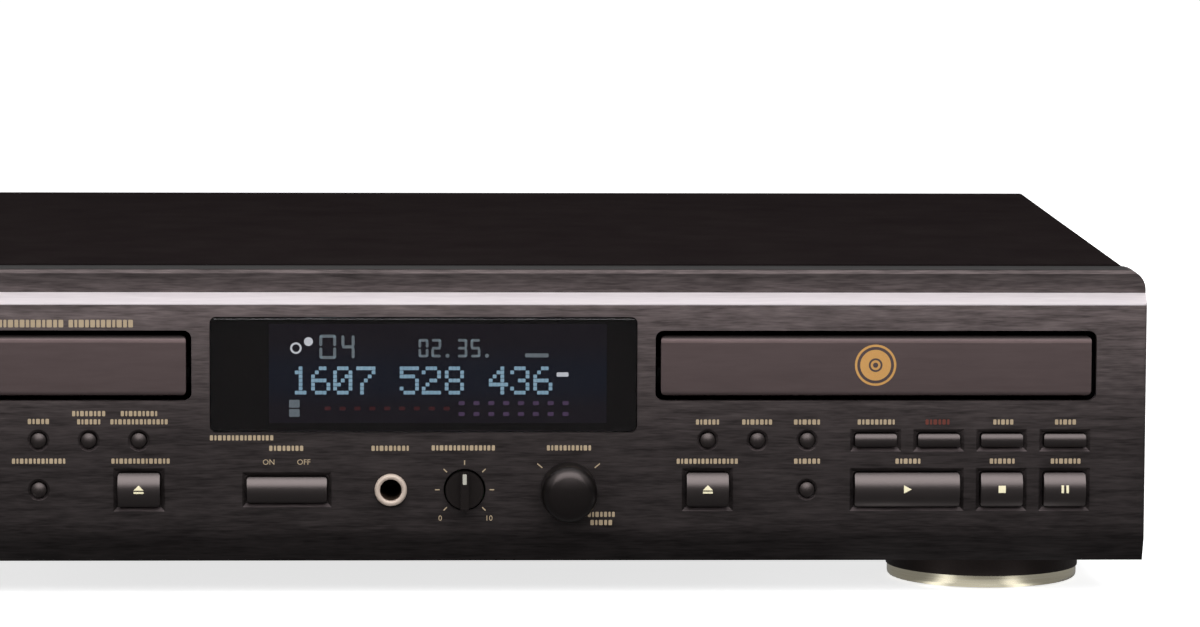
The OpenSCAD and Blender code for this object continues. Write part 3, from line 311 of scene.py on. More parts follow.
# Painted highlight along the drawer front's top edge, painted shade on the strip above it, and a face painted
# lighter towards the top
TRAY_FRONT_PAINTED_LIGHT_STOPS = (
    (11, 72), (100.2, 36), (60, 80), (TRAY_TOP_Z - 2.0, 86), (TRAY_TOP_Z - 1.7, 120),
    (TRAY_TOP_Z - 0.9, 112), (TRAY_TOP_Z - 0.6, 42), (TRAY_TOP_Z, 36),
)


def brushed_panel(name, stops, warmth, contrast, painted_lip_light):
    """Dark brushed panel whose grey is set by height, which paints light and shade on it. Warmth is the share
    of green and blue in it.
    """
    material, tree, shader = start_finish(name, PANEL_METALLIC, PANEL_SPECULAR)
    streaks = use(tree, STREAKS, Stretch=PANEL_STREAKS)
    tone = use(tree, HEIGHT_TONE, Low=PANEL_LOW_Z * MM, High=PANEL_TOP_Z * MM)
    ramp = place(tree, "ShaderNodeValToRGB", {0: tone})
    points = ramp.color_ramp.elements
    for index, (height, grey) in enumerate(stops):
        position = (height - PANEL_LOW_Z) / (PANEL_TOP_Z - PANEL_LOW_Z)
        point = points[index] if index < 2 else points.new(position)
        point.position = position
        point.color = linear(grey, grey * warmth, grey * warmth)
    shade = mix_colours(tree, streaks, [1 - contrast] * 3 + [1], [1 + contrast] * 3 + [1])
    colour = mix_colours(tree, 1.0, ramp.outputs[0], shade, "MULTIPLY")
    # Painted light on the lower lips of key holes, as if lit from above
    if painted_lip_light:
        lip = mix_colours(tree, 1.0, colour, LIP_PAINTED_LIGHT_GAIN, "MULTIPLY")
        colour = mix_colours(tree, use(tree, UPWARD_BEVEL, Top=LIP_TOP_Z * MM), colour, lip)
    connect(tree, shader, colour, streaks, PANEL_ROUGH, PANEL_BUMP, PANEL_BUMP_STRENGTH)
    return material


# Window and display. The painted bluish glow round the lit line rises and falls over these heights

WINDOW_IOR = 1.36
SPILL_GLOW_RISE = (58, 64)
SPILL_GLOW_FALL = (70, 78)
GLASS_GLOW = 0.48


def smoked_acrylic():
    """Dark see-through window with a trace of smudges in its gloss."""
    material, tree, shader = start_finish("smoked_acrylic")
    shader.inputs["Transmission Weight"].default_value = 1.0
    shader.inputs["IOR"].default_value = WINDOW_IOR
    smudge = use(tree, GRAIN, Scale=45, Detail=5)
    colour = mix_colours(tree, smudge, linear(118, 114, 118), linear(126, 122, 124))
    connect(tree, shader, colour, smudge, (0.015, 0.05))
    return material


def display_glass():
    """Dark display glass with the faint weave of its grid, and a painted glow: faint purple-grey all over and
    bluish behind the lit line.
    """
    material, tree, shader = start_finish("display_glass", specular=0.2)
    weave = use(tree, STREAKS, Stretch=(2200, 200, 200))
    colour = mix_colours(tree, weave, linear(12, 12, 18), linear(14, 14, 21))
    connect(tree, shader, colour, weave, (0.1, 0.2))
    height = part_place(tree)[2]
    rise = spread(tree, height, 0, 1, *[level * MM for level in SPILL_GLOW_RISE])
    fall = spread(tree, height, 1, 0, *[level * MM for level in SPILL_GLOW_FALL])
    # Painted glow of the glass: purple-grey all over, and bluish where the lit line's light would spill
    glow = mix_colours(tree, weave, linear(62, 54, 70), linear(66, 58, 76))
    spill_glow = mix_colours(tree, weave, linear(46, 58, 86), linear(50, 64, 94))
    glow = mix_colours(tree, math_node(tree, "MULTIPLY", rise, fall), glow, spill_glow)
    tree.links.new(glow, shader.inputs["Emission Color"])
    shader.inputs["Emission Strength"].default_value = GLASS_GLOW
    return material


def lit_segments(name, dark, light, strength):
    """Glowing display segments with a slightly uneven phosphor."""
    material, tree, shader = start_finish(name)
    phosphor = use(tree, GRAIN, Scale=1600, Detail=3)
    colour = mix_colours(tree, phosphor, linear(*dark), linear(*light))
    connect(tree, shader, colour, phosphor, (0.5, 0.7))
    tree.links.new(colour, shader.inputs["Emission Color"])
    shader.inputs["Emission Strength"].default_value = strength
    return material


# Boards and sockets, whose colours change where one solid holds several materials

TRACK_RANGE = (0.55, 0.62)
BOARD_STEP = 0.3
BOARD_SOFTNESS = 0.1
SOCKET_SPLIT_Z = 35.6
COAX_LEFT_X = 108
COLLAR_LENGTH = 2.0
PLATED = (196, 196, 198)
ORANGE_INSERT = (224, 120, 24)
JACK_FRONT = (-0.2, 0.1)
JACK_RINGS = 2200


def circuit_board(name, axis, start, end):
    """Green board with tracks; what stands off it, past start to end along an axis in mm, is dark."""
    material, tree, shader = start_finish(name, specular=0.4)
    tracks = use(tree, STREAKS, Stretch=(160, 420, 420))
    speckle = use(tree, GRAIN, Scale=900)
    track_mask = spread(tree, tracks, 0, 1, *TRACK_RANGE)
    green = mix_colours(tree, track_mask, linear(24, 72, 40), linear(62, 112, 56))
    body = mix_colours(tree, speckle, linear(26, 26, 28), linear(44, 43, 44))
    raised = spread(tree, part_place(tree)[axis], 0, 1, start * MM, end * MM)
    connect(tree, shader, mix_colours(tree, raised, green, body), speckle, (0.4, 0.6), 0.02)
    return material


def main_circuit_board():
    """The lying boards, on which things stand up."""
    lift = BOARD_TOP_Z + BOARD_STEP
    return circuit_board("circuit_board", 2, lift - BOARD_SOFTNESS, lift + BOARD_SOFTNESS)


def front_circuit_board():
    """The upright board behind the panel, from which switches stand out to the front."""
    front = FRONT_BOARD_Y - BOARD_STEP
    return circuit_board("front_circuit_board", 1, front + BOARD_SOFTNESS, front - BOARD_SOFTNESS)


def socket_stack(name, upper, lower):
    """Black socket block; outside the case its round sockets have coloured roots and plated collars."""
    material, tree, shader = start_finish(name)
    speckle = use(tree, GRAIN, Scale=2200)
    across, depth, height = part_place(tree)
    row = step_at(tree, height, SOCKET_SPLIT_Z, 0.3)
    insert = mix_colours(tree, row, linear(*lower), linear(*upper))
    black = mix_colours(tree, speckle, linear(18, 18, 19), linear(34, 33, 34))
    round_ones = step_at(tree, across, COAX_LEFT_X, 0.1)
    outside = math_node(tree, "MULTIPLY", step_at(tree, depth, REAR_Y, 0.1), round_ones)
    plated = math_node(tree, "MULTIPLY", step_at(tree, depth, REAR_Y + COLLAR_LENGTH, 0.1), round_ones)
    colour = mix_colours(tree, outside, black, insert)
    colour = mix_colours(tree, plated, colour, linear(*PLATED))
    connect(tree, shader, colour, speckle, (0.3, 0.5), 0.01)
    tree.links.new(plated, shader.inputs["Metallic"])
    return material


def jack_metal():
    """Pale metal ring and neck at the front, dark moulding further in and behind the panel."""
    material, tree, shader = start_finish("jack_ring")
    depth = part_place(tree)[1]
    rings = use(tree, TURNED, Centre=(JACK_X * MM, 0, ROW_LOW_Z * MM), Rings=JACK_RINGS)
    metal = mix_colours(tree, rings, linear(186, 169, 156), linear(208, 191, 178))
    front = spread(tree, depth, 1, 0, *[(FACE_Y + offset) * MM for offset in JACK_FRONT])
    connect(tree, shader, mix_colours(tree, front, linear(74, 60, 50), metal), rings, (0.46, 0.56), 0.005)
    tree.links.new(spread(tree, front, 0.0, 0.15), shader.inputs["Metallic"])
    return material


# Which finish goes where: by slot, and by node where a node has a finish of its own

FINISHES = {
    "case_sheet": moulded("painted_cover", (26, 21, 22), (33, 28, 28), (0.62, 0.78), 2600,
                          specular=0.0, dust=0.008),
    "panel": brushed_panel("brushed_panel", PANEL_PAINTED_LIGHT_STOPS, 0.9, 0.44, True),
    "trim": brushed("satin_trim", (213, 204, 208), (225, 217, 220), (0.3, 0.42), (60, 1500, 1500),
                    metallic=0.4, bump=0.004),
    "smoked_window": smoked_acrylic(),
    "display": display_glass(),
    "board": main_circuit_board(),
    "foot": moulded("foot_plastic", (18, 11, 8), (27, 18, 14), (0.5, 0.66), 1800),
    "gold_ring": brushed("champagne_ring", (236, 226, 196), (252, 245, 222), (0.12, 0.22), (30, 30, 2600)),
    "screw": moulded("dark_screw", (40, 40, 42), (66, 66, 68), (0.32, 0.46), 3000, metallic=0.85),
    "socket": moulded("socket_moulding", (16, 16, 17), (32, 31, 32), (0.4, 0.55), 2200),
    "key": satin("key_satin", (20, 18, 18), (26, 23, 23), (0.34, 0.42), 1.06),
    "deck_plastic": moulded("deck_moulding", (20, 20, 21), (34, 33, 34), (0.48, 0.64), 1900, dust=0.04),
    "deck_metal": moulded("zinc_plate", (146, 146, 148), (178, 178, 180), (0.3, 0.46), 420,
                          metallic=1.0, bump=0.01),
    "gear": moulded("nylon_gear", (208, 206, 198), (228, 226, 218), (0.36, 0.5), 2400),
}
TRAY_FRONT_FINISH = brushed_panel("satin_tray_front", TRAY_FRONT_PAINTED_LIGHT_STOPS, 0.86, 0.05, False)
NODE_FINISHES = {
    "front_board": front_circuit_board(),
    "headphone_socket": jack_metal(),
    "phono_sockets": socket_stack("phono_stack", (232, 230, 224), (172, 24, 22)),
    "digital_sockets": socket_stack("digital_stack", ORANGE_INSERT, ORANGE_INSERT),
    "jog_knob": turned("jog_knob_satin", (5, 4, 4), (9, 8, 8), (0.28, 0.36), JOG_X, 0.58),
    "level_knob": turned("level_knob_satin", (15, 13, 12), (22, 19, 18), (0.3, 0.4), LEVEL_X, 0.45),
    "chassis_pan": FINISHES["deck_metal"],
    "rear_panel": moulded("painted_rear", (24, 22, 22), (34, 31, 31), (0.5, 0.64), 2400, specular=0.2),
}
ROUND_KEY = satin("round_key_satin", (13, 10, 9), (19, 15, 14), (0.44, 0.54), 0.95)
THIN_KEY = satin("thin_key_satin", (20, 18, 18), (26, 23, 23), (0.34, 0.42), 0.88)
for side in SIDES:
    NODE_FINISHES[side + "tray_front"] = TRAY_FRONT_FINISH
    NODE_FINISHES[side + "clamp_puck"] = FINISHES["gear"]
    for number in range(1, 5):
        NODE_FINISHES[f"{side}round_button_{number}"] = ROUND_KEY
        NODE_FINISHES[f"{side}thin_key_{number}"] = THIN_KEY

WARM_GLINT = (1.0, 0.85, 0.84, 1.0)
for finish in (FINISHES["key"], FINISHES["foot"], NODE_FINISHES["jog_knob"], NODE_FINISHES["level_knob"],
               ROUND_KEY, THIN_KEY):
    finish.node_tree.nodes["Principled BSDF"].inputs["Specular Tint"].default_value = WARM_GLINT

GOLD_INK = ink("gold_print", (158, 140, 115), (184, 165, 138))
AMBER_INK = ink("amber_print", (176, 128, 66), (206, 158, 96))
RED_INK = ink("red_print", (92, 46, 38), (110, 55, 45))
CREAM_INK = ink("cream_print", (236, 226, 188), (250, 242, 208), (0.4, 0.5))
GREY_INK = ink("grey_print", (172, 170, 160), (188, 185, 174), (0.4, 0.5))
MASK_BLACK = moulded("display_mask_black", (50, 40, 35), (57, 46, 41), (0.7, 0.85), 2000, specular=0.05)
GLYPH_LIGHT = lit_segments("lit_segments", (146, 194, 214), (172, 212, 230), 2.6)
GLYPH_WHITE = lit_segments("white_segments", (208, 218, 220), (224, 234, 236), 3.4)
GLYPH_SOFT = lit_segments("soft_segments", (146, 166, 172), (164, 182, 186), 1.5)
GLYPH_DIM = lit_segments("dim_segments", (104, 84, 120), (118, 96, 134), 1.5)
GLYPH_RED = lit_segments("dim_red_segments", (92, 40, 44), (106, 48, 52), 1.2)


def dress_solids():
    """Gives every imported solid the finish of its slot, or its own where it has one."""
    for name, node in nodes.items():
        slot = node.data.materials[0].name.split(".")[0]
        finish = NODE_FINISHES.get(name, FINISHES[slot])
        node.data.materials.clear()
        node.data.materials.append(finish)


dress_solids()


# Small tools for raised print and lit segments

SINK = 0.03
INK = 0.035
BAR_CORNER = 0.18


def flat_at(depth):
    """A flat front at that Y, for pieces that sit on it."""
    return lambda x, z: depth


def add_point(mesh, x, y, z):
    return mesh.verts.new((x * MM, y * MM, z * MM))


def join_loops(mesh, pairs):
    """Joins the two rings of points in each pair by a band of faces."""
    for first, second in pairs:
        count = len(first)
        for index in range(count):
            after = (index + 1) % count
            mesh.faces.new((first[index], first[after], second[after], second[index]))


def close_ends(mesh, loops):
    """Closes rings of points into a solid with two ends."""
    join_loops(mesh, zip(loops, loops[1:]))
    mesh.faces.new(loops[0])
    mesh.faces.new(list(reversed(loops[-1])))


def close_round(mesh, loops):
    """Closes rings of points into a solid that runs round to its own start."""
    join_loops(mesh, zip(loops, loops[1:] + loops[:1]))


def add_plate(mesh, outline, surface, outward=-1):
    """A thin raised plate with that outline of (x, z); outward is -1 to the front and 1 to the back."""
    loops = []
    for lift in (-SINK, INK):
        loops.append([add_point(mesh, x, surface(x, z) + outward * lift, z) for x, z in outline])
    close_ends(mesh, loops)


def add_rows(mesh, rows, surface):
    """A thin raised form that follows a bowed front: each row is (z, left x, right x)."""
    loops = []
    for z, left, right in rows:
        ends = ((left, -SINK), (left, INK), (right, INK), (right, -SINK))
        loops.append([add_point(mesh, x, surface(x, z) - lift, z) for x, lift in ends])
    close_ends(mesh, loops)


def add_ring(mesh, centre_x, centre_z, inner, outer, surface, steps=64):
    """A thin raised ring."""
    loops = []
    for step in range(steps):
        angle = 2 * math.pi * step / steps
        loop = []
        for radius, lift in ((inner, -SINK), (inner, INK), (outer, INK), (outer, -SINK)):
            x = centre_x + radius * math.cos(angle)
            z = centre_z + radius * math.sin(angle)
            loop.append(add_point(mesh, x, surface(x, z) - lift, z))
        loops.append(loop)
    close_round(mesh, loops)


def bar_outline(left, right, low, high, corner=BAR_CORNER):
    """A bar with cut corners."""
    return [(left + corner, low), (right - corner, low), (right, low + corner), (right, high - corner),
            (right - corner, high), (left + corner, high), (left, high - corner), (left, low + corner)]


def disc_outline(centre_x, centre_z, radius, steps=20):
    angles = [2 * math.pi * step / steps for step in range(steps)]
    return [(centre_x + radius * math.cos(angle), centre_z + radius * math.sin(angle)) for angle in angles]


def close_piece(name, mesh, finish, body):
    """Turns a finished bmesh into a piece that rides on a body."""
    bmesh.ops.recalc_face_normals(mesh, faces=mesh.faces)
    data = bpy.data.meshes.new(name)
    mesh.to_mesh(data)
    mesh.free()
    data.materials.append(finish)
    piece = bpy.data.objects.new(name, data)
    scene.collection.objects.link(piece)
    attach(piece, body)


# Print on the panel and the back: rows of blocks for labels, tick marks, plain words and numbers

LABEL_HEIGHT = 1.6
TRAY_LABEL_HEIGHT = 2.3
LABEL_GAP = 0.42
LABEL_WIDTHS = (0.95, 0.62, 1.1, 0.8, 1.0, 0.7, 0.9)

# Places of labels as (middle x, middle z, width), for the right-hand deck and mirrored for the left
DECK_LABELS = ((137.6, 54.1, 11.3), (176.4, 54.1, 6.1), (195.4, 54.1, 6.4),
               (147.4, 42.1, 7.6), (176.2, 42.1, 7.6), (195.6, 42.1, 9.1))
RECORD_LABEL = (156.3, 54.1, 7.3)

# Labels that stand once
RIGHT_LABELS = ((86.2, 54.1, 7.0), (101.3, 54.1, 9.1), (116.5, 54.1, 7.9), (86.2, 42.1, 18.6),
                (116.6, 42.1, 7.9))
LEFT_LABELS = ((-116.6, 54.3, 6.4), (-101.4, 56.7, 10.0), (-101.4, 54.2, 7.0), (-86.2, 56.7, 11.0),
               (-86.2, 54.2, 17.3), (-116.6, 42.2, 16.1), (-85.8, 42.2, 17.6))
MIDDLE_LABELS = ((-55.2, 49.3, 19.2), (-41.7, 46.1, 10.3), (-10.2, 46.1, 11.3), (12.0, 46.2, 19.2),
                 (44.1, 46.2, 13.4), (54.0, 25.8, 8.2), (54.0, 23.3, 6.6))
TRAY_LABELS = ((-118.8, 84.1, 19.8), (-97.6, 84.1, 19.4), (-140.2, 84.1, 19.0))
REAR_LABELS = ((142.5, 52.6, 10.5), (162.5, 52.6, 10.5), (117.5, 52.6, 12.0), (86.5, 34.4, 24.0),
               (-177.5, 47.6, 13.0), (-40.0, 62.0, 58.0), (-40.0, 58.6, 66.0), (-40.0, 55.2, 44.0))

# Ticks as (knob's x, inner radius, outer radius, angles), and words as (text, middle x, middle z)
TICKS = ((LEVEL_X, 7.6, 9.0, (-135, -90, -45, 0, 45, 90, 135)), (JOG_X, 10.4, 12.4, (-50, 50)))
TICK_WIDTH = 0.35
WORDS = (("ON", -47.0, 41.8), ("OFF", -36.4, 41.8), ("0", 5.0, 24.6), ("10", 19.8, 24.6))
WORD_HEIGHT = 1.7
FONT_SIZE_PER_HEIGHT = 1.38


def add_label(mesh, label, height=LABEL_HEIGHT, depth=FACE_Y, outward=-1):
    """A label shown as a row of small plain blocks, without letters."""
    middle_x, middle_z, width = label
    mean = sum(LABEL_WIDTHS) / len(LABEL_WIDTHS) * height / LABEL_HEIGHT
    count = max(2, round((width + LABEL_GAP) / (mean + LABEL_GAP)))
    blocks = [LABEL_WIDTHS[index % len(LABEL_WIDTHS)] for index in range(count)]
    stretch = (width - LABEL_GAP * (count - 1)) / sum(blocks)
    left = middle_x - width / 2
    for block in blocks:
        right = left + block * stretch
        outline = bar_outline(left, right, middle_z - height / 2, middle_z + height / 2)
        add_plate(mesh, outline, flat_at(depth), outward)
        left = right + LABEL_GAP


def add_tick(mesh, centre_x, angle, inner, outer):
    """A tick mark round a knob in the lower row; the angle is in degrees from the top, clockwise."""
    turn = math.radians(angle)
    out_x = math.sin(turn)
    out_z = math.cos(turn)
    outline = []
    for radius, aside in ((inner, -1), (outer, -1), (outer, 1), (inner, 1)):
        x = centre_x + radius * out_x + aside * TICK_WIDTH / 2 * out_z
        z = ROW_LOW_Z + radius * out_z - aside * TICK_WIDTH / 2 * out_x
        outline.append((x, z))
    add_plate(mesh, outline, flat_at(FACE_Y))


def add_words(mesh, text, centre_x, centre_z):
    """Plain words or numbers in Blender's own letters, as raised ink."""
    curve = bpy.data.curves.new("words", "FONT")
    curve.body = text
    curve.align_x = "CENTER"
    curve.align_y = "CENTER"
    curve.size = WORD_HEIGHT * FONT_SIZE_PER_HEIGHT * MM
    curve.extrude = (INK + SINK) / 2 * MM
    curve.resolution_u = 3
    helper = bpy.data.objects.new("words", curve)
    scene.collection.objects.link(helper)
    bpy.context.view_layer.update()
    data = bpy.data.meshes.new_from_object(helper.evaluated_get(bpy.context.evaluated_depsgraph_get()))
    middle_y = FACE_Y - (INK - SINK) / 2
    move = Matrix.Translation(Vector((centre_x, middle_y, centre_z)) * MM)
    data.transform(move @ Matrix.Rotation(math.pi / 2, 4, "X"))
    mesh.from_mesh(data)
    bpy.data.objects.remove(helper)
    bpy.data.curves.remove(curve)
    bpy.data.meshes.remove(data)


def print_panel():
    mesh = bmesh.new()
    for label in RIGHT_LABELS + LEFT_LABELS + MIDDLE_LABELS:
        add_label(mesh, label)
    for label in TRAY_LABELS:
        add_label(mesh, label, TRAY_LABEL_HEIGHT)
    for sign in SIDES.values():
        for x, z, width in DECK_LABELS:
            add_label(mesh, (sign * x, z, width))
    for centre_x, inner, outer, angles in TICKS:
        for angle in angles:
            add_tick(mesh, centre_x, angle, inner, outer)
    for word in WORDS:
        add_words(mesh, *word)
    close_piece("panel_print", mesh, GOLD_INK, "case")


def print_record_labels():
    mesh = bmesh.new()
    x, z, width = RECORD_LABEL
    for sign in SIDES.values():
        add_label(mesh, (sign * x, z, width))
    close_piece("record_print", mesh, RED_INK, "case")


def print_rear():
    mesh = bmesh.new()
    for label in REAR_LABELS:
        add_label(mesh, label, depth=REAR_Y, outward=1)
    close_piece("rear_print", mesh, GREY_INK, "case")


print_panel()
print_record_labels()
print_rear()


# Plain disc sign on each drawer front: a rim, a broad ring and a hub, as inner and outer radius and steps

DISC_SIGN_X = 137.2
DISC_SIGN_Z = 71.6
DISC_SIGN_RINGS = ((5.6, 6.3, 64), (2.1, 4.7, 64), (0.8, 1.5, 32))


def print_drawer_signs():
    for side, sign in SIDES.items():
        mesh = bmesh.new()
        for inner, outer, steps in DISC_SIGN_RINGS:
            add_ring(mesh, sign * DISC_SIGN_X, DISC_SIGN_Z, inner, outer, flat_at(TRAY_FACE_Y), steps)
        close_piece(side + "disc_sign", mesh, AMBER_INK, side + "tray")


print_drawer_signs()


# Cream signs on the bowed keys. Their sizes are measured from the middle of a sign

KEY_HEIGHT = 10.3
KEY_SAG = 0.24 * KEY_HEIGHT
SIGN_STEPS = 8
SIGN_LIFT = 0.4
SIGN_HALF = 1.25
EJECT_HALF_WIDTH = 1.5
EJECT_BAR_TOP = -SIGN_HALF + 0.6
EJECT_ARROW_LOW = -SIGN_HALF + 1.0
ARROW_TIP = 0.05
PLAY_LEFT = -1.1
PLAY_REACH = 2.3
STOP_HALF = 1.1
PAUSE_HALF = 1.2
PAUSE_BAR_HALF_WIDTH = 0.38
PAUSE_BAR_X = 0.75


def bowed_front(node):
    """The bowed front of a key, as the depth at a point on it."""
    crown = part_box(node)[0].y / MM
    radius = ((KEY_HEIGHT / 2) ** 2 + KEY_SAG ** 2) / (2 * KEY_SAG)
    return lambda x, z: crown + radius - math.sqrt(radius ** 2 - (z - ROW_LOW_Z) ** 2)


def sign_rows(low, high, ends):
    """Rows from low to high, with the left and right ends given as a function of the height's share."""
    rows = []
    for step in range(SIGN_STEPS + 1):
        share = step / SIGN_STEPS
        rows.append((low + (high - low) * share, *ends(share)))
    return rows


def block(half_width, middle=0.0):
    """The ends of a sign's rows where all are equally wide."""
    return lambda share: (middle - half_width, middle + half_width)


def arrow_up(share):
    half_width = EJECT_HALF_WIDTH * (1 - share) + ARROW_TIP
    return -half_width, half_width


def arrow_right(share):
    reach = 1 - abs(2 * share - 1)
    return PLAY_LEFT, PLAY_LEFT + ARROW_TIP + PLAY_REACH * reach


KEY_SIGNS = {
    "open_key": [sign_rows(-SIGN_HALF, EJECT_BAR_TOP, block(EJECT_HALF_WIDTH)),
                 sign_rows(EJECT_ARROW_LOW, SIGN_HALF, arrow_up)],
    "play_key": [sign_rows(-SIGN_HALF, SIGN_HALF, arrow_right)],
    "stop_key": [sign_rows(-STOP_HALF, STOP_HALF, block(STOP_HALF))],
    "pause_key": [sign_rows(-PAUSE_HALF, PAUSE_HALF, block(PAUSE_BAR_HALF_WIDTH, x))
                  for x in (-PAUSE_BAR_X, PAUSE_BAR_X)],
}


def print_key_signs():
    for side in SIDES:
        for key, forms in KEY_SIGNS.items():
            node = side + key
            low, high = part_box(node)
            middle_x = (low.x + high.x) / 2 / MM
            middle_z = ROW_LOW_Z + SIGN_LIFT
            mesh = bmesh.new()
            for rows in forms:
                placed = [(z + middle_z, left + middle_x, right + middle_x) for z, left, right in rows]
                add_rows(mesh, placed, bowed_front(node))
            close_piece(node + "_sign", mesh, CREAM_INK, node)


print_key_signs()


# The pale line on the level knob's grip bar

LEVEL_LINE_HALF_WIDTH = 0.6
LEVEL_LINE_Z = (ROW_LOW_Z + 2.1, ROW_LOW_Z + 5.3)


def mark_level_knob():
    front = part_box("level_knob")[0].y / MM
    mesh = bmesh.new()
    outline = bar_outline(LEVEL_X - LEVEL_LINE_HALF_WIDTH, LEVEL_X + LEVEL_LINE_HALF_WIDTH, *LEVEL_LINE_Z)
    add_plate(mesh, outline, flat_at(front))
    close_piece("level_knob_line", mesh, GREY_INK, "level_knob")


mark_level_knob()


# A shallow dome on the jog knob, which runs smoothly into the knob's rounded edge

JOG_R = 8.5
JOG_ROUND = 4.08
DOME_R = 5.4
DOME_ROOT = 0.3
DOME_RINGS = 12
DOME_STEPS = 72


def crown_jog_knob():
    past_flat = DOME_R - (JOG_R - JOG_ROUND)
    round_depth = math.sqrt(JOG_ROUND ** 2 - past_flat ** 2)
    rim_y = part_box("jog_knob")[0].y / MM + JOG_ROUND - round_depth
    rise = past_flat / round_depth * DOME_R / 2
    profile = [(DOME_R, rim_y + DOME_ROOT)]
    for ring in range(DOME_RINGS):
        share = 1 - ring / DOME_RINGS
        profile.append((DOME_R * share, rim_y - rise * (1 - share ** 2)))
    mesh = bmesh.new()
    loops = []
    for radius, depth in profile:
        outline = disc_outline(JOG_X, ROW_LOW_Z, radius, DOME_STEPS)
        loops.append([add_point(mesh, x, depth, z) for x, z in outline])
    close_ends(mesh, loops)
    for face in mesh.faces:
        face.smooth = True
    for vertex in loops[1]:
        for edge in vertex.link_edges:
            edge.smooth = not all(end in loops[1] for end in edge.verts)
    close_piece("jog_knob_dome", mesh, NODE_FINISHES["jog_knob"], "jog_knob")


crown_jog_knob()


# The black mask between the window and the tube, open over the lit field

MASK_Y = -136.5
MASK_THICK = 0.35
MASK_X = (-65.0, -47.0, 55.6, 65.0)
MASK_Z = (51.0, 53.4, 83.7, 86.0)


def rectangle(left, right, low, high):
    return (left, low), (right, low), (right, high), (left, high)


def fit_display_mask():
    mesh = bmesh.new()
    left, open_left, open_right, right = MASK_X
    low, open_low, open_high, high = MASK_Z
    outer = rectangle(left, right, low, high)
    inner = rectangle(open_left, open_right, open_low, open_high)
    front_y = MASK_Y - MASK_THICK
    loops = []
    for (outer_x, outer_z), (inner_x, inner_z) in zip(outer, inner):
        corners = ((outer_x, MASK_Y, outer_z), (outer_x, front_y, outer_z),
                   (inner_x, front_y, inner_z), (inner_x, MASK_Y, inner_z))
        loops.append([add_point(mesh, *corner) for corner in corners])
    close_round(mesh, loops)
    close_piece("display_mask", mesh, MASK_BLACK, "case")


fit_display_mask()


# What the display shows: a line of dotted digits, digits of bars, marks and level dots

DIGIT_DOTS = {
    "0": "01110 10001 10011 10101 11001 10001 01110",
    "1": "00100 01100 00100 00100 00100 00100 01110",
    "2": "01110 10001 00001 00110 01000 10000 11111",
    "3": "01110 10001 00001 00110 00001 10001 01110",
    "4": "00010 00110 01010 10010 11111 00010 00010",
    "5": "11111 10000 11110 00001 00001 10001 01110",
    "6": "00110 01000 10000 11110 10001 10001 01110",
    "7": "11111 00001 00010 00100 01000 01000 01000",
    "8": "01110 10001 10001 01110 10001 10001 01110",
}
DOT_PITCH_X = 1.17
DOT_PITCH_Z = 1.24
DOT_SIZE = 1.12
DOT_CORNER = 0.08
MESSAGE_TOP = 70.6
MESSAGE = (("1", -40.3), ("6", -34.2), ("0", -27.5), ("7", -20.5), ("5", -7.3), ("2", -0.6), ("8", 6.4),
           ("4", 19.8), ("3", 26.3), ("6", 33.3))

# Which of the bars a to g are lit in each digit, and digits as (digit, left, low, width, height, stroke)
SEGMENTS = {"0": "abcdef", "2": "abged", "3": "abgcd", "4": "fgbc", "5": "afgcd"}
SEGMENT_GAP_SHARE = 0.25
SEGMENT_CORNER_SHARE = 0.3
COUNTER_DIGITS = (
    ("0", -31.7, 72.9, 5.1, 7.4, 0.9), ("4", -25.0, 72.9, 4.0, 7.4, 0.9), ("0", -1.6, 73.4, 3.0, 5.6, 0.8),
    ("2", 2.3, 73.4, 3.0, 5.6, 0.8), ("3", 10.2, 73.4, 3.0, 5.6, 0.8), ("5", 14.2, 73.4, 3.0, 5.6, 0.8),
)

# Bars as (left, right, low, high), discs as (middle x, middle z, radius)
WHITE_DASH = (40.4, 44.0, 67.5, 68.8)
WHITE_DISC = (-35.0, 78.2, 1.35)
WHITE_RING_CENTRE = (-38.8, 76.2)
WHITE_RING_RADII = (1.15, 1.75)
LEFT_BARS = ((-40.9, -37.7, 55.2, 57.6), (-40.9, -37.7, 58.0, 60.4))
COUNTER_POINTS = ((7.2, 73.9, 0.6), (19.2, 73.9, 0.6))
COUNTER_DASH = (30.8, 37.9, 73.4, 74.6)

# Rows of unlit dots: left-most middle, number of columns, and low and high edges of each row
LEVEL_PITCH = 4.52
LEVEL_HALF_WIDTH = 0.9
LEVEL_ROWS = (11.5, 8, ((58.8, 60.0), (55.45, 56.65)))
RED_ROWS = (-29.2, 9, ((57.2, 58.3),))


def add_on_tube(mesh, outline):
    add_plate(mesh, outline, flat_at(TUBE_Y))


def add_dot_digit(mesh, digit, left):
    for row, dots in enumerate(DIGIT_DOTS[digit].split()):
        for column, lit in enumerate(dots):
            if lit == "1":
                x = left + column * DOT_PITCH_X
                z = MESSAGE_TOP - row * DOT_PITCH_Z
                add_on_tube(mesh, bar_outline(x, x + DOT_SIZE, z - DOT_SIZE, z, DOT_CORNER))


def add_segment_digit(mesh, digit, left, low, width, height, stroke):
    """A digit of seven bars."""
    right = left + width
    high = low + height
    middle = (low + high) / 2
    gap = stroke * SEGMENT_GAP_SHARE
    bars = {
        "a": (left + gap, right - gap, high - stroke, high),
        "g": (left + gap, right - gap, middle - stroke / 2, middle + stroke / 2),
        "d": (left + gap, right - gap, low, low + stroke),
        "f": (left, left + stroke, middle + gap, high - gap),
        "b": (right - stroke, right, middle + gap, high - gap),
        "e": (left, left + stroke, low + gap, middle - gap),
        "c": (right - stroke, right, low + gap, middle - gap),
    }
    for segment in SEGMENTS[digit]:
        add_on_tube(mesh, bar_outline(*bars[segment], stroke * SEGMENT_CORNER_SHARE))


def light_message():
    mesh = bmesh.new()
    for digit, left in MESSAGE:
        add_dot_digit(mesh, digit, left)
    close_piece("lit_message", mesh, GLYPH_LIGHT, "case")


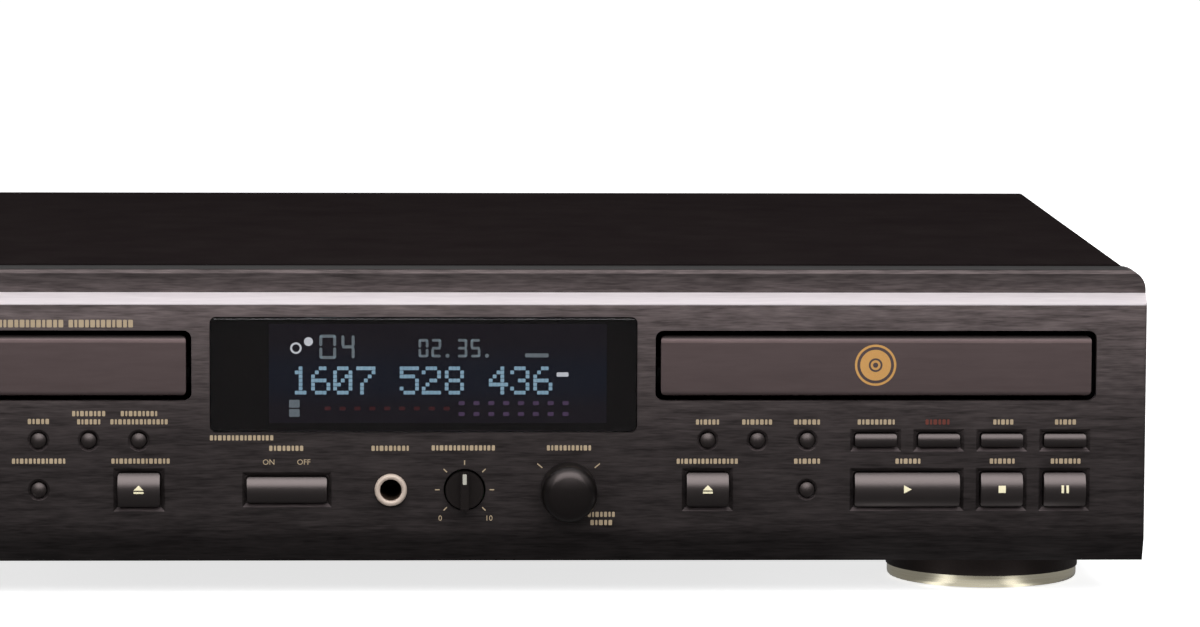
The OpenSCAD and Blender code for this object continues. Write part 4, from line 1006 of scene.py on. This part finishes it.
def light_marks():
    mesh = bmesh.new()
    add_on_tube(mesh, bar_outline(*WHITE_DASH))
    add_ring(mesh, *WHITE_RING_CENTRE, *WHITE_RING_RADII, flat_at(TUBE_Y))
    add_on_tube(mesh, disc_outline(*WHITE_DISC))
    close_piece("lit_marks", mesh, GLYPH_WHITE, "case")


def light_counters():
    mesh = bmesh.new()
    for bar in LEFT_BARS:
        add_on_tube(mesh, bar_outline(*bar))
    for digit in COUNTER_DIGITS:
        add_segment_digit(mesh, *digit)
    for disc in COUNTER_POINTS:
        add_on_tube(mesh, disc_outline(*disc))
    add_on_tube(mesh, bar_outline(*COUNTER_DASH))
    close_piece("lit_counters", mesh, GLYPH_SOFT, "case")


def lay_dim_dots(name, rows, finish):
    mesh = bmesh.new()
    left, columns, edges = rows
    for column in range(columns):
        x = left + column * LEVEL_PITCH
        for low, high in edges:
            add_on_tube(mesh, bar_outline(x - LEVEL_HALF_WIDTH, x + LEVEL_HALF_WIDTH, low, high))
    close_piece(name, mesh, finish, "case")


light_message()
light_marks()
light_counters()
lay_dim_dots("dim_level_dots", LEVEL_ROWS, GLYPH_DIM)
lay_dim_dots("dim_red_dots", RED_ROWS, GLYPH_RED)


# The floor, and the gleam that the front feet's rings mirror from it

FLOOR_SIZE_M = 8.0
FLOOR_DROP_M = 0.0002
FLOOR_GLOW = 0.74
FLOOR_GLOSS = 0.04
FLOOR_GREY = ((172, 172, 172), (178, 178, 178))
FLOOR_PALE = ((246, 246, 246), (250, 250, 250))
FLOOR_DIM = ((84, 84, 84), (90, 90, 90))
GLEAM_PALE = 0.5
GLEAM_ASIDE = 0.16
GLEAM_BEAM = 0.62
GLEAM_AXIS = math.radians(8.5)
GLEAM_RISE_ANGLES = (math.radians(17), math.radians(25))
GLEAM_FALL_ANGLES = (math.radians(30), math.radians(38))
GLEAM_PALE_ANGLES = (math.radians(28), math.radians(46))
GLEAM_REACH = (60, 80)
GLEAM_FRONT_Y = (FACE_Y - 8, FACE_Y)
FOOT_RADIUS = 30
FOOT_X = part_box("feet")[1].x / MM - FOOT_RADIUS
FOOT_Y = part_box("feet")[0].y / MM + FOOT_RADIUS


def foot_gleam(tree):
    """The floor as gloss sees it: pale before the front feet, with two bright beams, and dim elsewhere."""
    across, depth = part_place(tree)[:2]
    aside = math_node(tree, "SUBTRACT", math_node(tree, "ABSOLUTE", across), FOOT_X * MM)
    ahead = math_node(tree, "SUBTRACT", FOOT_Y * MM, depth)
    angle = math_node(tree, "ADD", math_node(tree, "ARCTAN2", aside, ahead), GLEAM_AXIS)
    turn = math_node(tree, "ABSOLUTE", angle)
    rise = spread(tree, turn, 0, GLEAM_BEAM, *GLEAM_RISE_ANGLES)
    fall = spread(tree, turn, GLEAM_BEAM, 0, *GLEAM_FALL_ANGLES)
    pale = spread(tree, turn, GLEAM_PALE, GLEAM_ASIDE, *GLEAM_PALE_ANGLES)
    gleam = math_node(tree, "ADD", math_node(tree, "MINIMUM", rise, fall), pale)
    squares = [math_node(tree, "POWER", length, 2.0) for length in (aside, ahead)]
    away = math_node(tree, "SQRT", math_node(tree, "ADD", *squares))
    near = spread(tree, away, 1, 0, *[reach * MM for reach in GLEAM_REACH])
    under = spread(tree, depth, 0, 1, *[limit * MM for limit in GLEAM_FRONT_Y])
    share = math_node(tree, "MULTIPLY", near, under)
    return math_node(tree, "ADD", math_node(tree, "MULTIPLY", gleam, share), FLOOR_GLOSS)


def floor_finish():
    """White with the object's shadow for the camera and glass, dim in gloss but for the feet's gleam."""
    material, tree, shader = start_finish("pale_floor", specular=0.0)
    grain = use(tree, GRAIN, Scale=300)
    path = place(tree, "ShaderNodeLightPath").outputs
    seen = math_node(tree, "MAXIMUM", path["Is Camera Ray"], path["Is Transmission Ray"])
    tones = (FLOOR_GREY, FLOOR_PALE, FLOOR_DIM)
    grey, pale, dim = [mix_colours(tree, grain, linear(*dark), linear(*light)) for dark, light in tones]
    colour = mix_colours(tree, path["Is Glossy Ray"], mix_colours(tree, seen, grey, pale), dim)
    connect(tree, shader, colour, grain, (0.9, 1.0))
    seen_glow = math_node(tree, "MULTIPLY", seen, FLOOR_GLOW)
    gloss_glow = math_node(tree, "MULTIPLY", path["Is Glossy Ray"], foot_gleam(tree))
    shader.inputs["Emission Color"].default_value = (1, 1, 1, 1)
    tree.links.new(math_node(tree, "ADD", seen_glow, gloss_glow), shader.inputs["Emission Strength"])
    return material


def lay_floor():
    mesh = bmesh.new()
    half = FLOOR_SIZE_M / 2
    mesh.faces.new([mesh.verts.new((x, y, -FLOOR_DROP_M)) for x, y in rectangle(-half, half, -half, half)])
    data = bpy.data.meshes.new("floor")
    mesh.to_mesh(data)
    mesh.free()
    floor = bpy.data.objects.new("floor", data)
    scene.collection.objects.link(floor)
    data.materials.append(floor_finish())


# Light. Directions are shares of a unit length, and softboxes are given in metres and watts

AMBIENT = 0.3
GLOSS_LOW = 0.06
GLOSS_BEHIND = 0.2
ABOVE_RANGE = (0.25, 0.75)
BEHIND_RANGE = (-0.1, 0.3)

# Each softbox: name, place, aim, width, height, power and whether gloss shows it
SOFTBOXES = (
    ("key_softbox", (0, -0.8, 0.8), (0, -0.12, 0.06), 1.4, 1.0, 14.0, True),
    ("back_softbox", (0, 1.2, 0.5), (0, 0.15, 0.05), 1.4, 0.6, 8.0, False),
    ("left_fill_softbox", (-1.3, 0.25, 0.35), (-0.2, 0.0, 0.05), 0.8, 0.5, 5.0, False),
    ("right_fill_softbox", (1.3, 0.25, 0.35), (0.2, 0.0, 0.05), 0.8, 0.5, 5.0, False),
)


def surround():
    """White for camera and glass; in gloss it is white above, part dark behind and dim low in front."""
    world = bpy.data.worlds.new("studio_surround")
    scene.world = world
    world.use_nodes = True
    tree = world.node_tree
    tree.nodes.clear()
    direction = place(tree, "ShaderNodeTexCoord").outputs["Generated"]
    ahead, upward = place(tree, "ShaderNodeSeparateXYZ", {0: direction}).outputs[1:]
    above = spread(tree, upward, 0, 1, *ABOVE_RANGE)
    behind = spread(tree, ahead, 0, GLOSS_BEHIND, *BEHIND_RANGE)
    bright = spread(tree, math_node(tree, "MAXIMUM", above, behind), GLOSS_LOW, 1.0)
    path = place(tree, "ShaderNodeLightPath").outputs
    seen = math_node(tree, "MAXIMUM", path["Is Camera Ray"], path["Is Transmission Ray"])
    glossy = math_node(tree, "MULTIPLY", path["Is Glossy Ray"], bright)
    direct = math_node(tree, "ADD", seen, glossy)
    other = math_node(tree, "SUBTRACT", 1.0, math_node(tree, "MAXIMUM", seen, path["Is Glossy Ray"]))
    strength = math_node(tree, "ADD", direct, math_node(tree, "MULTIPLY", other, AMBIENT))
    background = place(tree, "ShaderNodeBackground", {"Color": (1, 1, 1, 1), "Strength": strength})
    output = place(tree, "ShaderNodeOutputWorld")
    tree.links.new(background.outputs[0], output.inputs["Surface"])


def hang_softbox(name, place_m, aim_m, width_m, height_m, watts, in_gloss):
    lamp = bpy.data.lights.new(name, "AREA")
    lamp.shape = "RECTANGLE"
    lamp.size = width_m
    lamp.size_y = height_m
    lamp.energy = watts
    box = bpy.data.objects.new(name, lamp)
    scene.collection.objects.link(box)
    box.location = place_m
    box.rotation_euler = (Vector(aim_m) - Vector(place_m)).to_track_quat("-Z", "Y").to_euler()
    box.visible_camera = False
    box.visible_glossy = in_gloss


# Camera at the photo's angle

CAMERA_EYE = Vector((-0.656, -1742.333, 252.953)) * MM
CAMERA_YAW = math.radians(1.933)
CAMERA_PITCH = math.radians(5.90614)
CAMERA_ROLL = math.radians(0.22956)
CAMERA_LENS = 159.368
SENSOR_WIDTH = 36


def set_camera():
    """Yaw is to the right, pitch is down, and roll tips the picture about the line of sight."""
    flat_right = Vector((math.cos(CAMERA_YAW), -math.sin(CAMERA_YAW), 0))
    flat_ahead = Vector((math.sin(CAMERA_YAW), math.cos(CAMERA_YAW), 0))
    upright = Vector((0, 0, 1))
    ahead = math.cos(CAMERA_PITCH) * flat_ahead - math.sin(CAMERA_PITCH) * upright
    plain_up = math.sin(CAMERA_PITCH) * flat_ahead + math.cos(CAMERA_PITCH) * upright
    right = math.cos(CAMERA_ROLL) * flat_right + math.sin(CAMERA_ROLL) * plain_up
    up = -math.sin(CAMERA_ROLL) * flat_right + math.cos(CAMERA_ROLL) * plain_up
    lens = bpy.data.cameras.new("camera")
    lens.lens = CAMERA_LENS
    lens.sensor_fit = "HORIZONTAL"
    lens.sensor_width = SENSOR_WIDTH
    lens.clip_start = 0.01
    camera = bpy.data.objects.new("camera", lens)
    scene.collection.objects.link(camera)
    turn = Matrix((right, up, -ahead)).transposed().to_4x4()
    camera.matrix_world = Matrix.Translation(CAMERA_EYE) @ turn
    scene.camera = camera


lay_floor()
surround()
for softbox in SOFTBOXES:
    hang_softbox(*softbox)
set_camera()
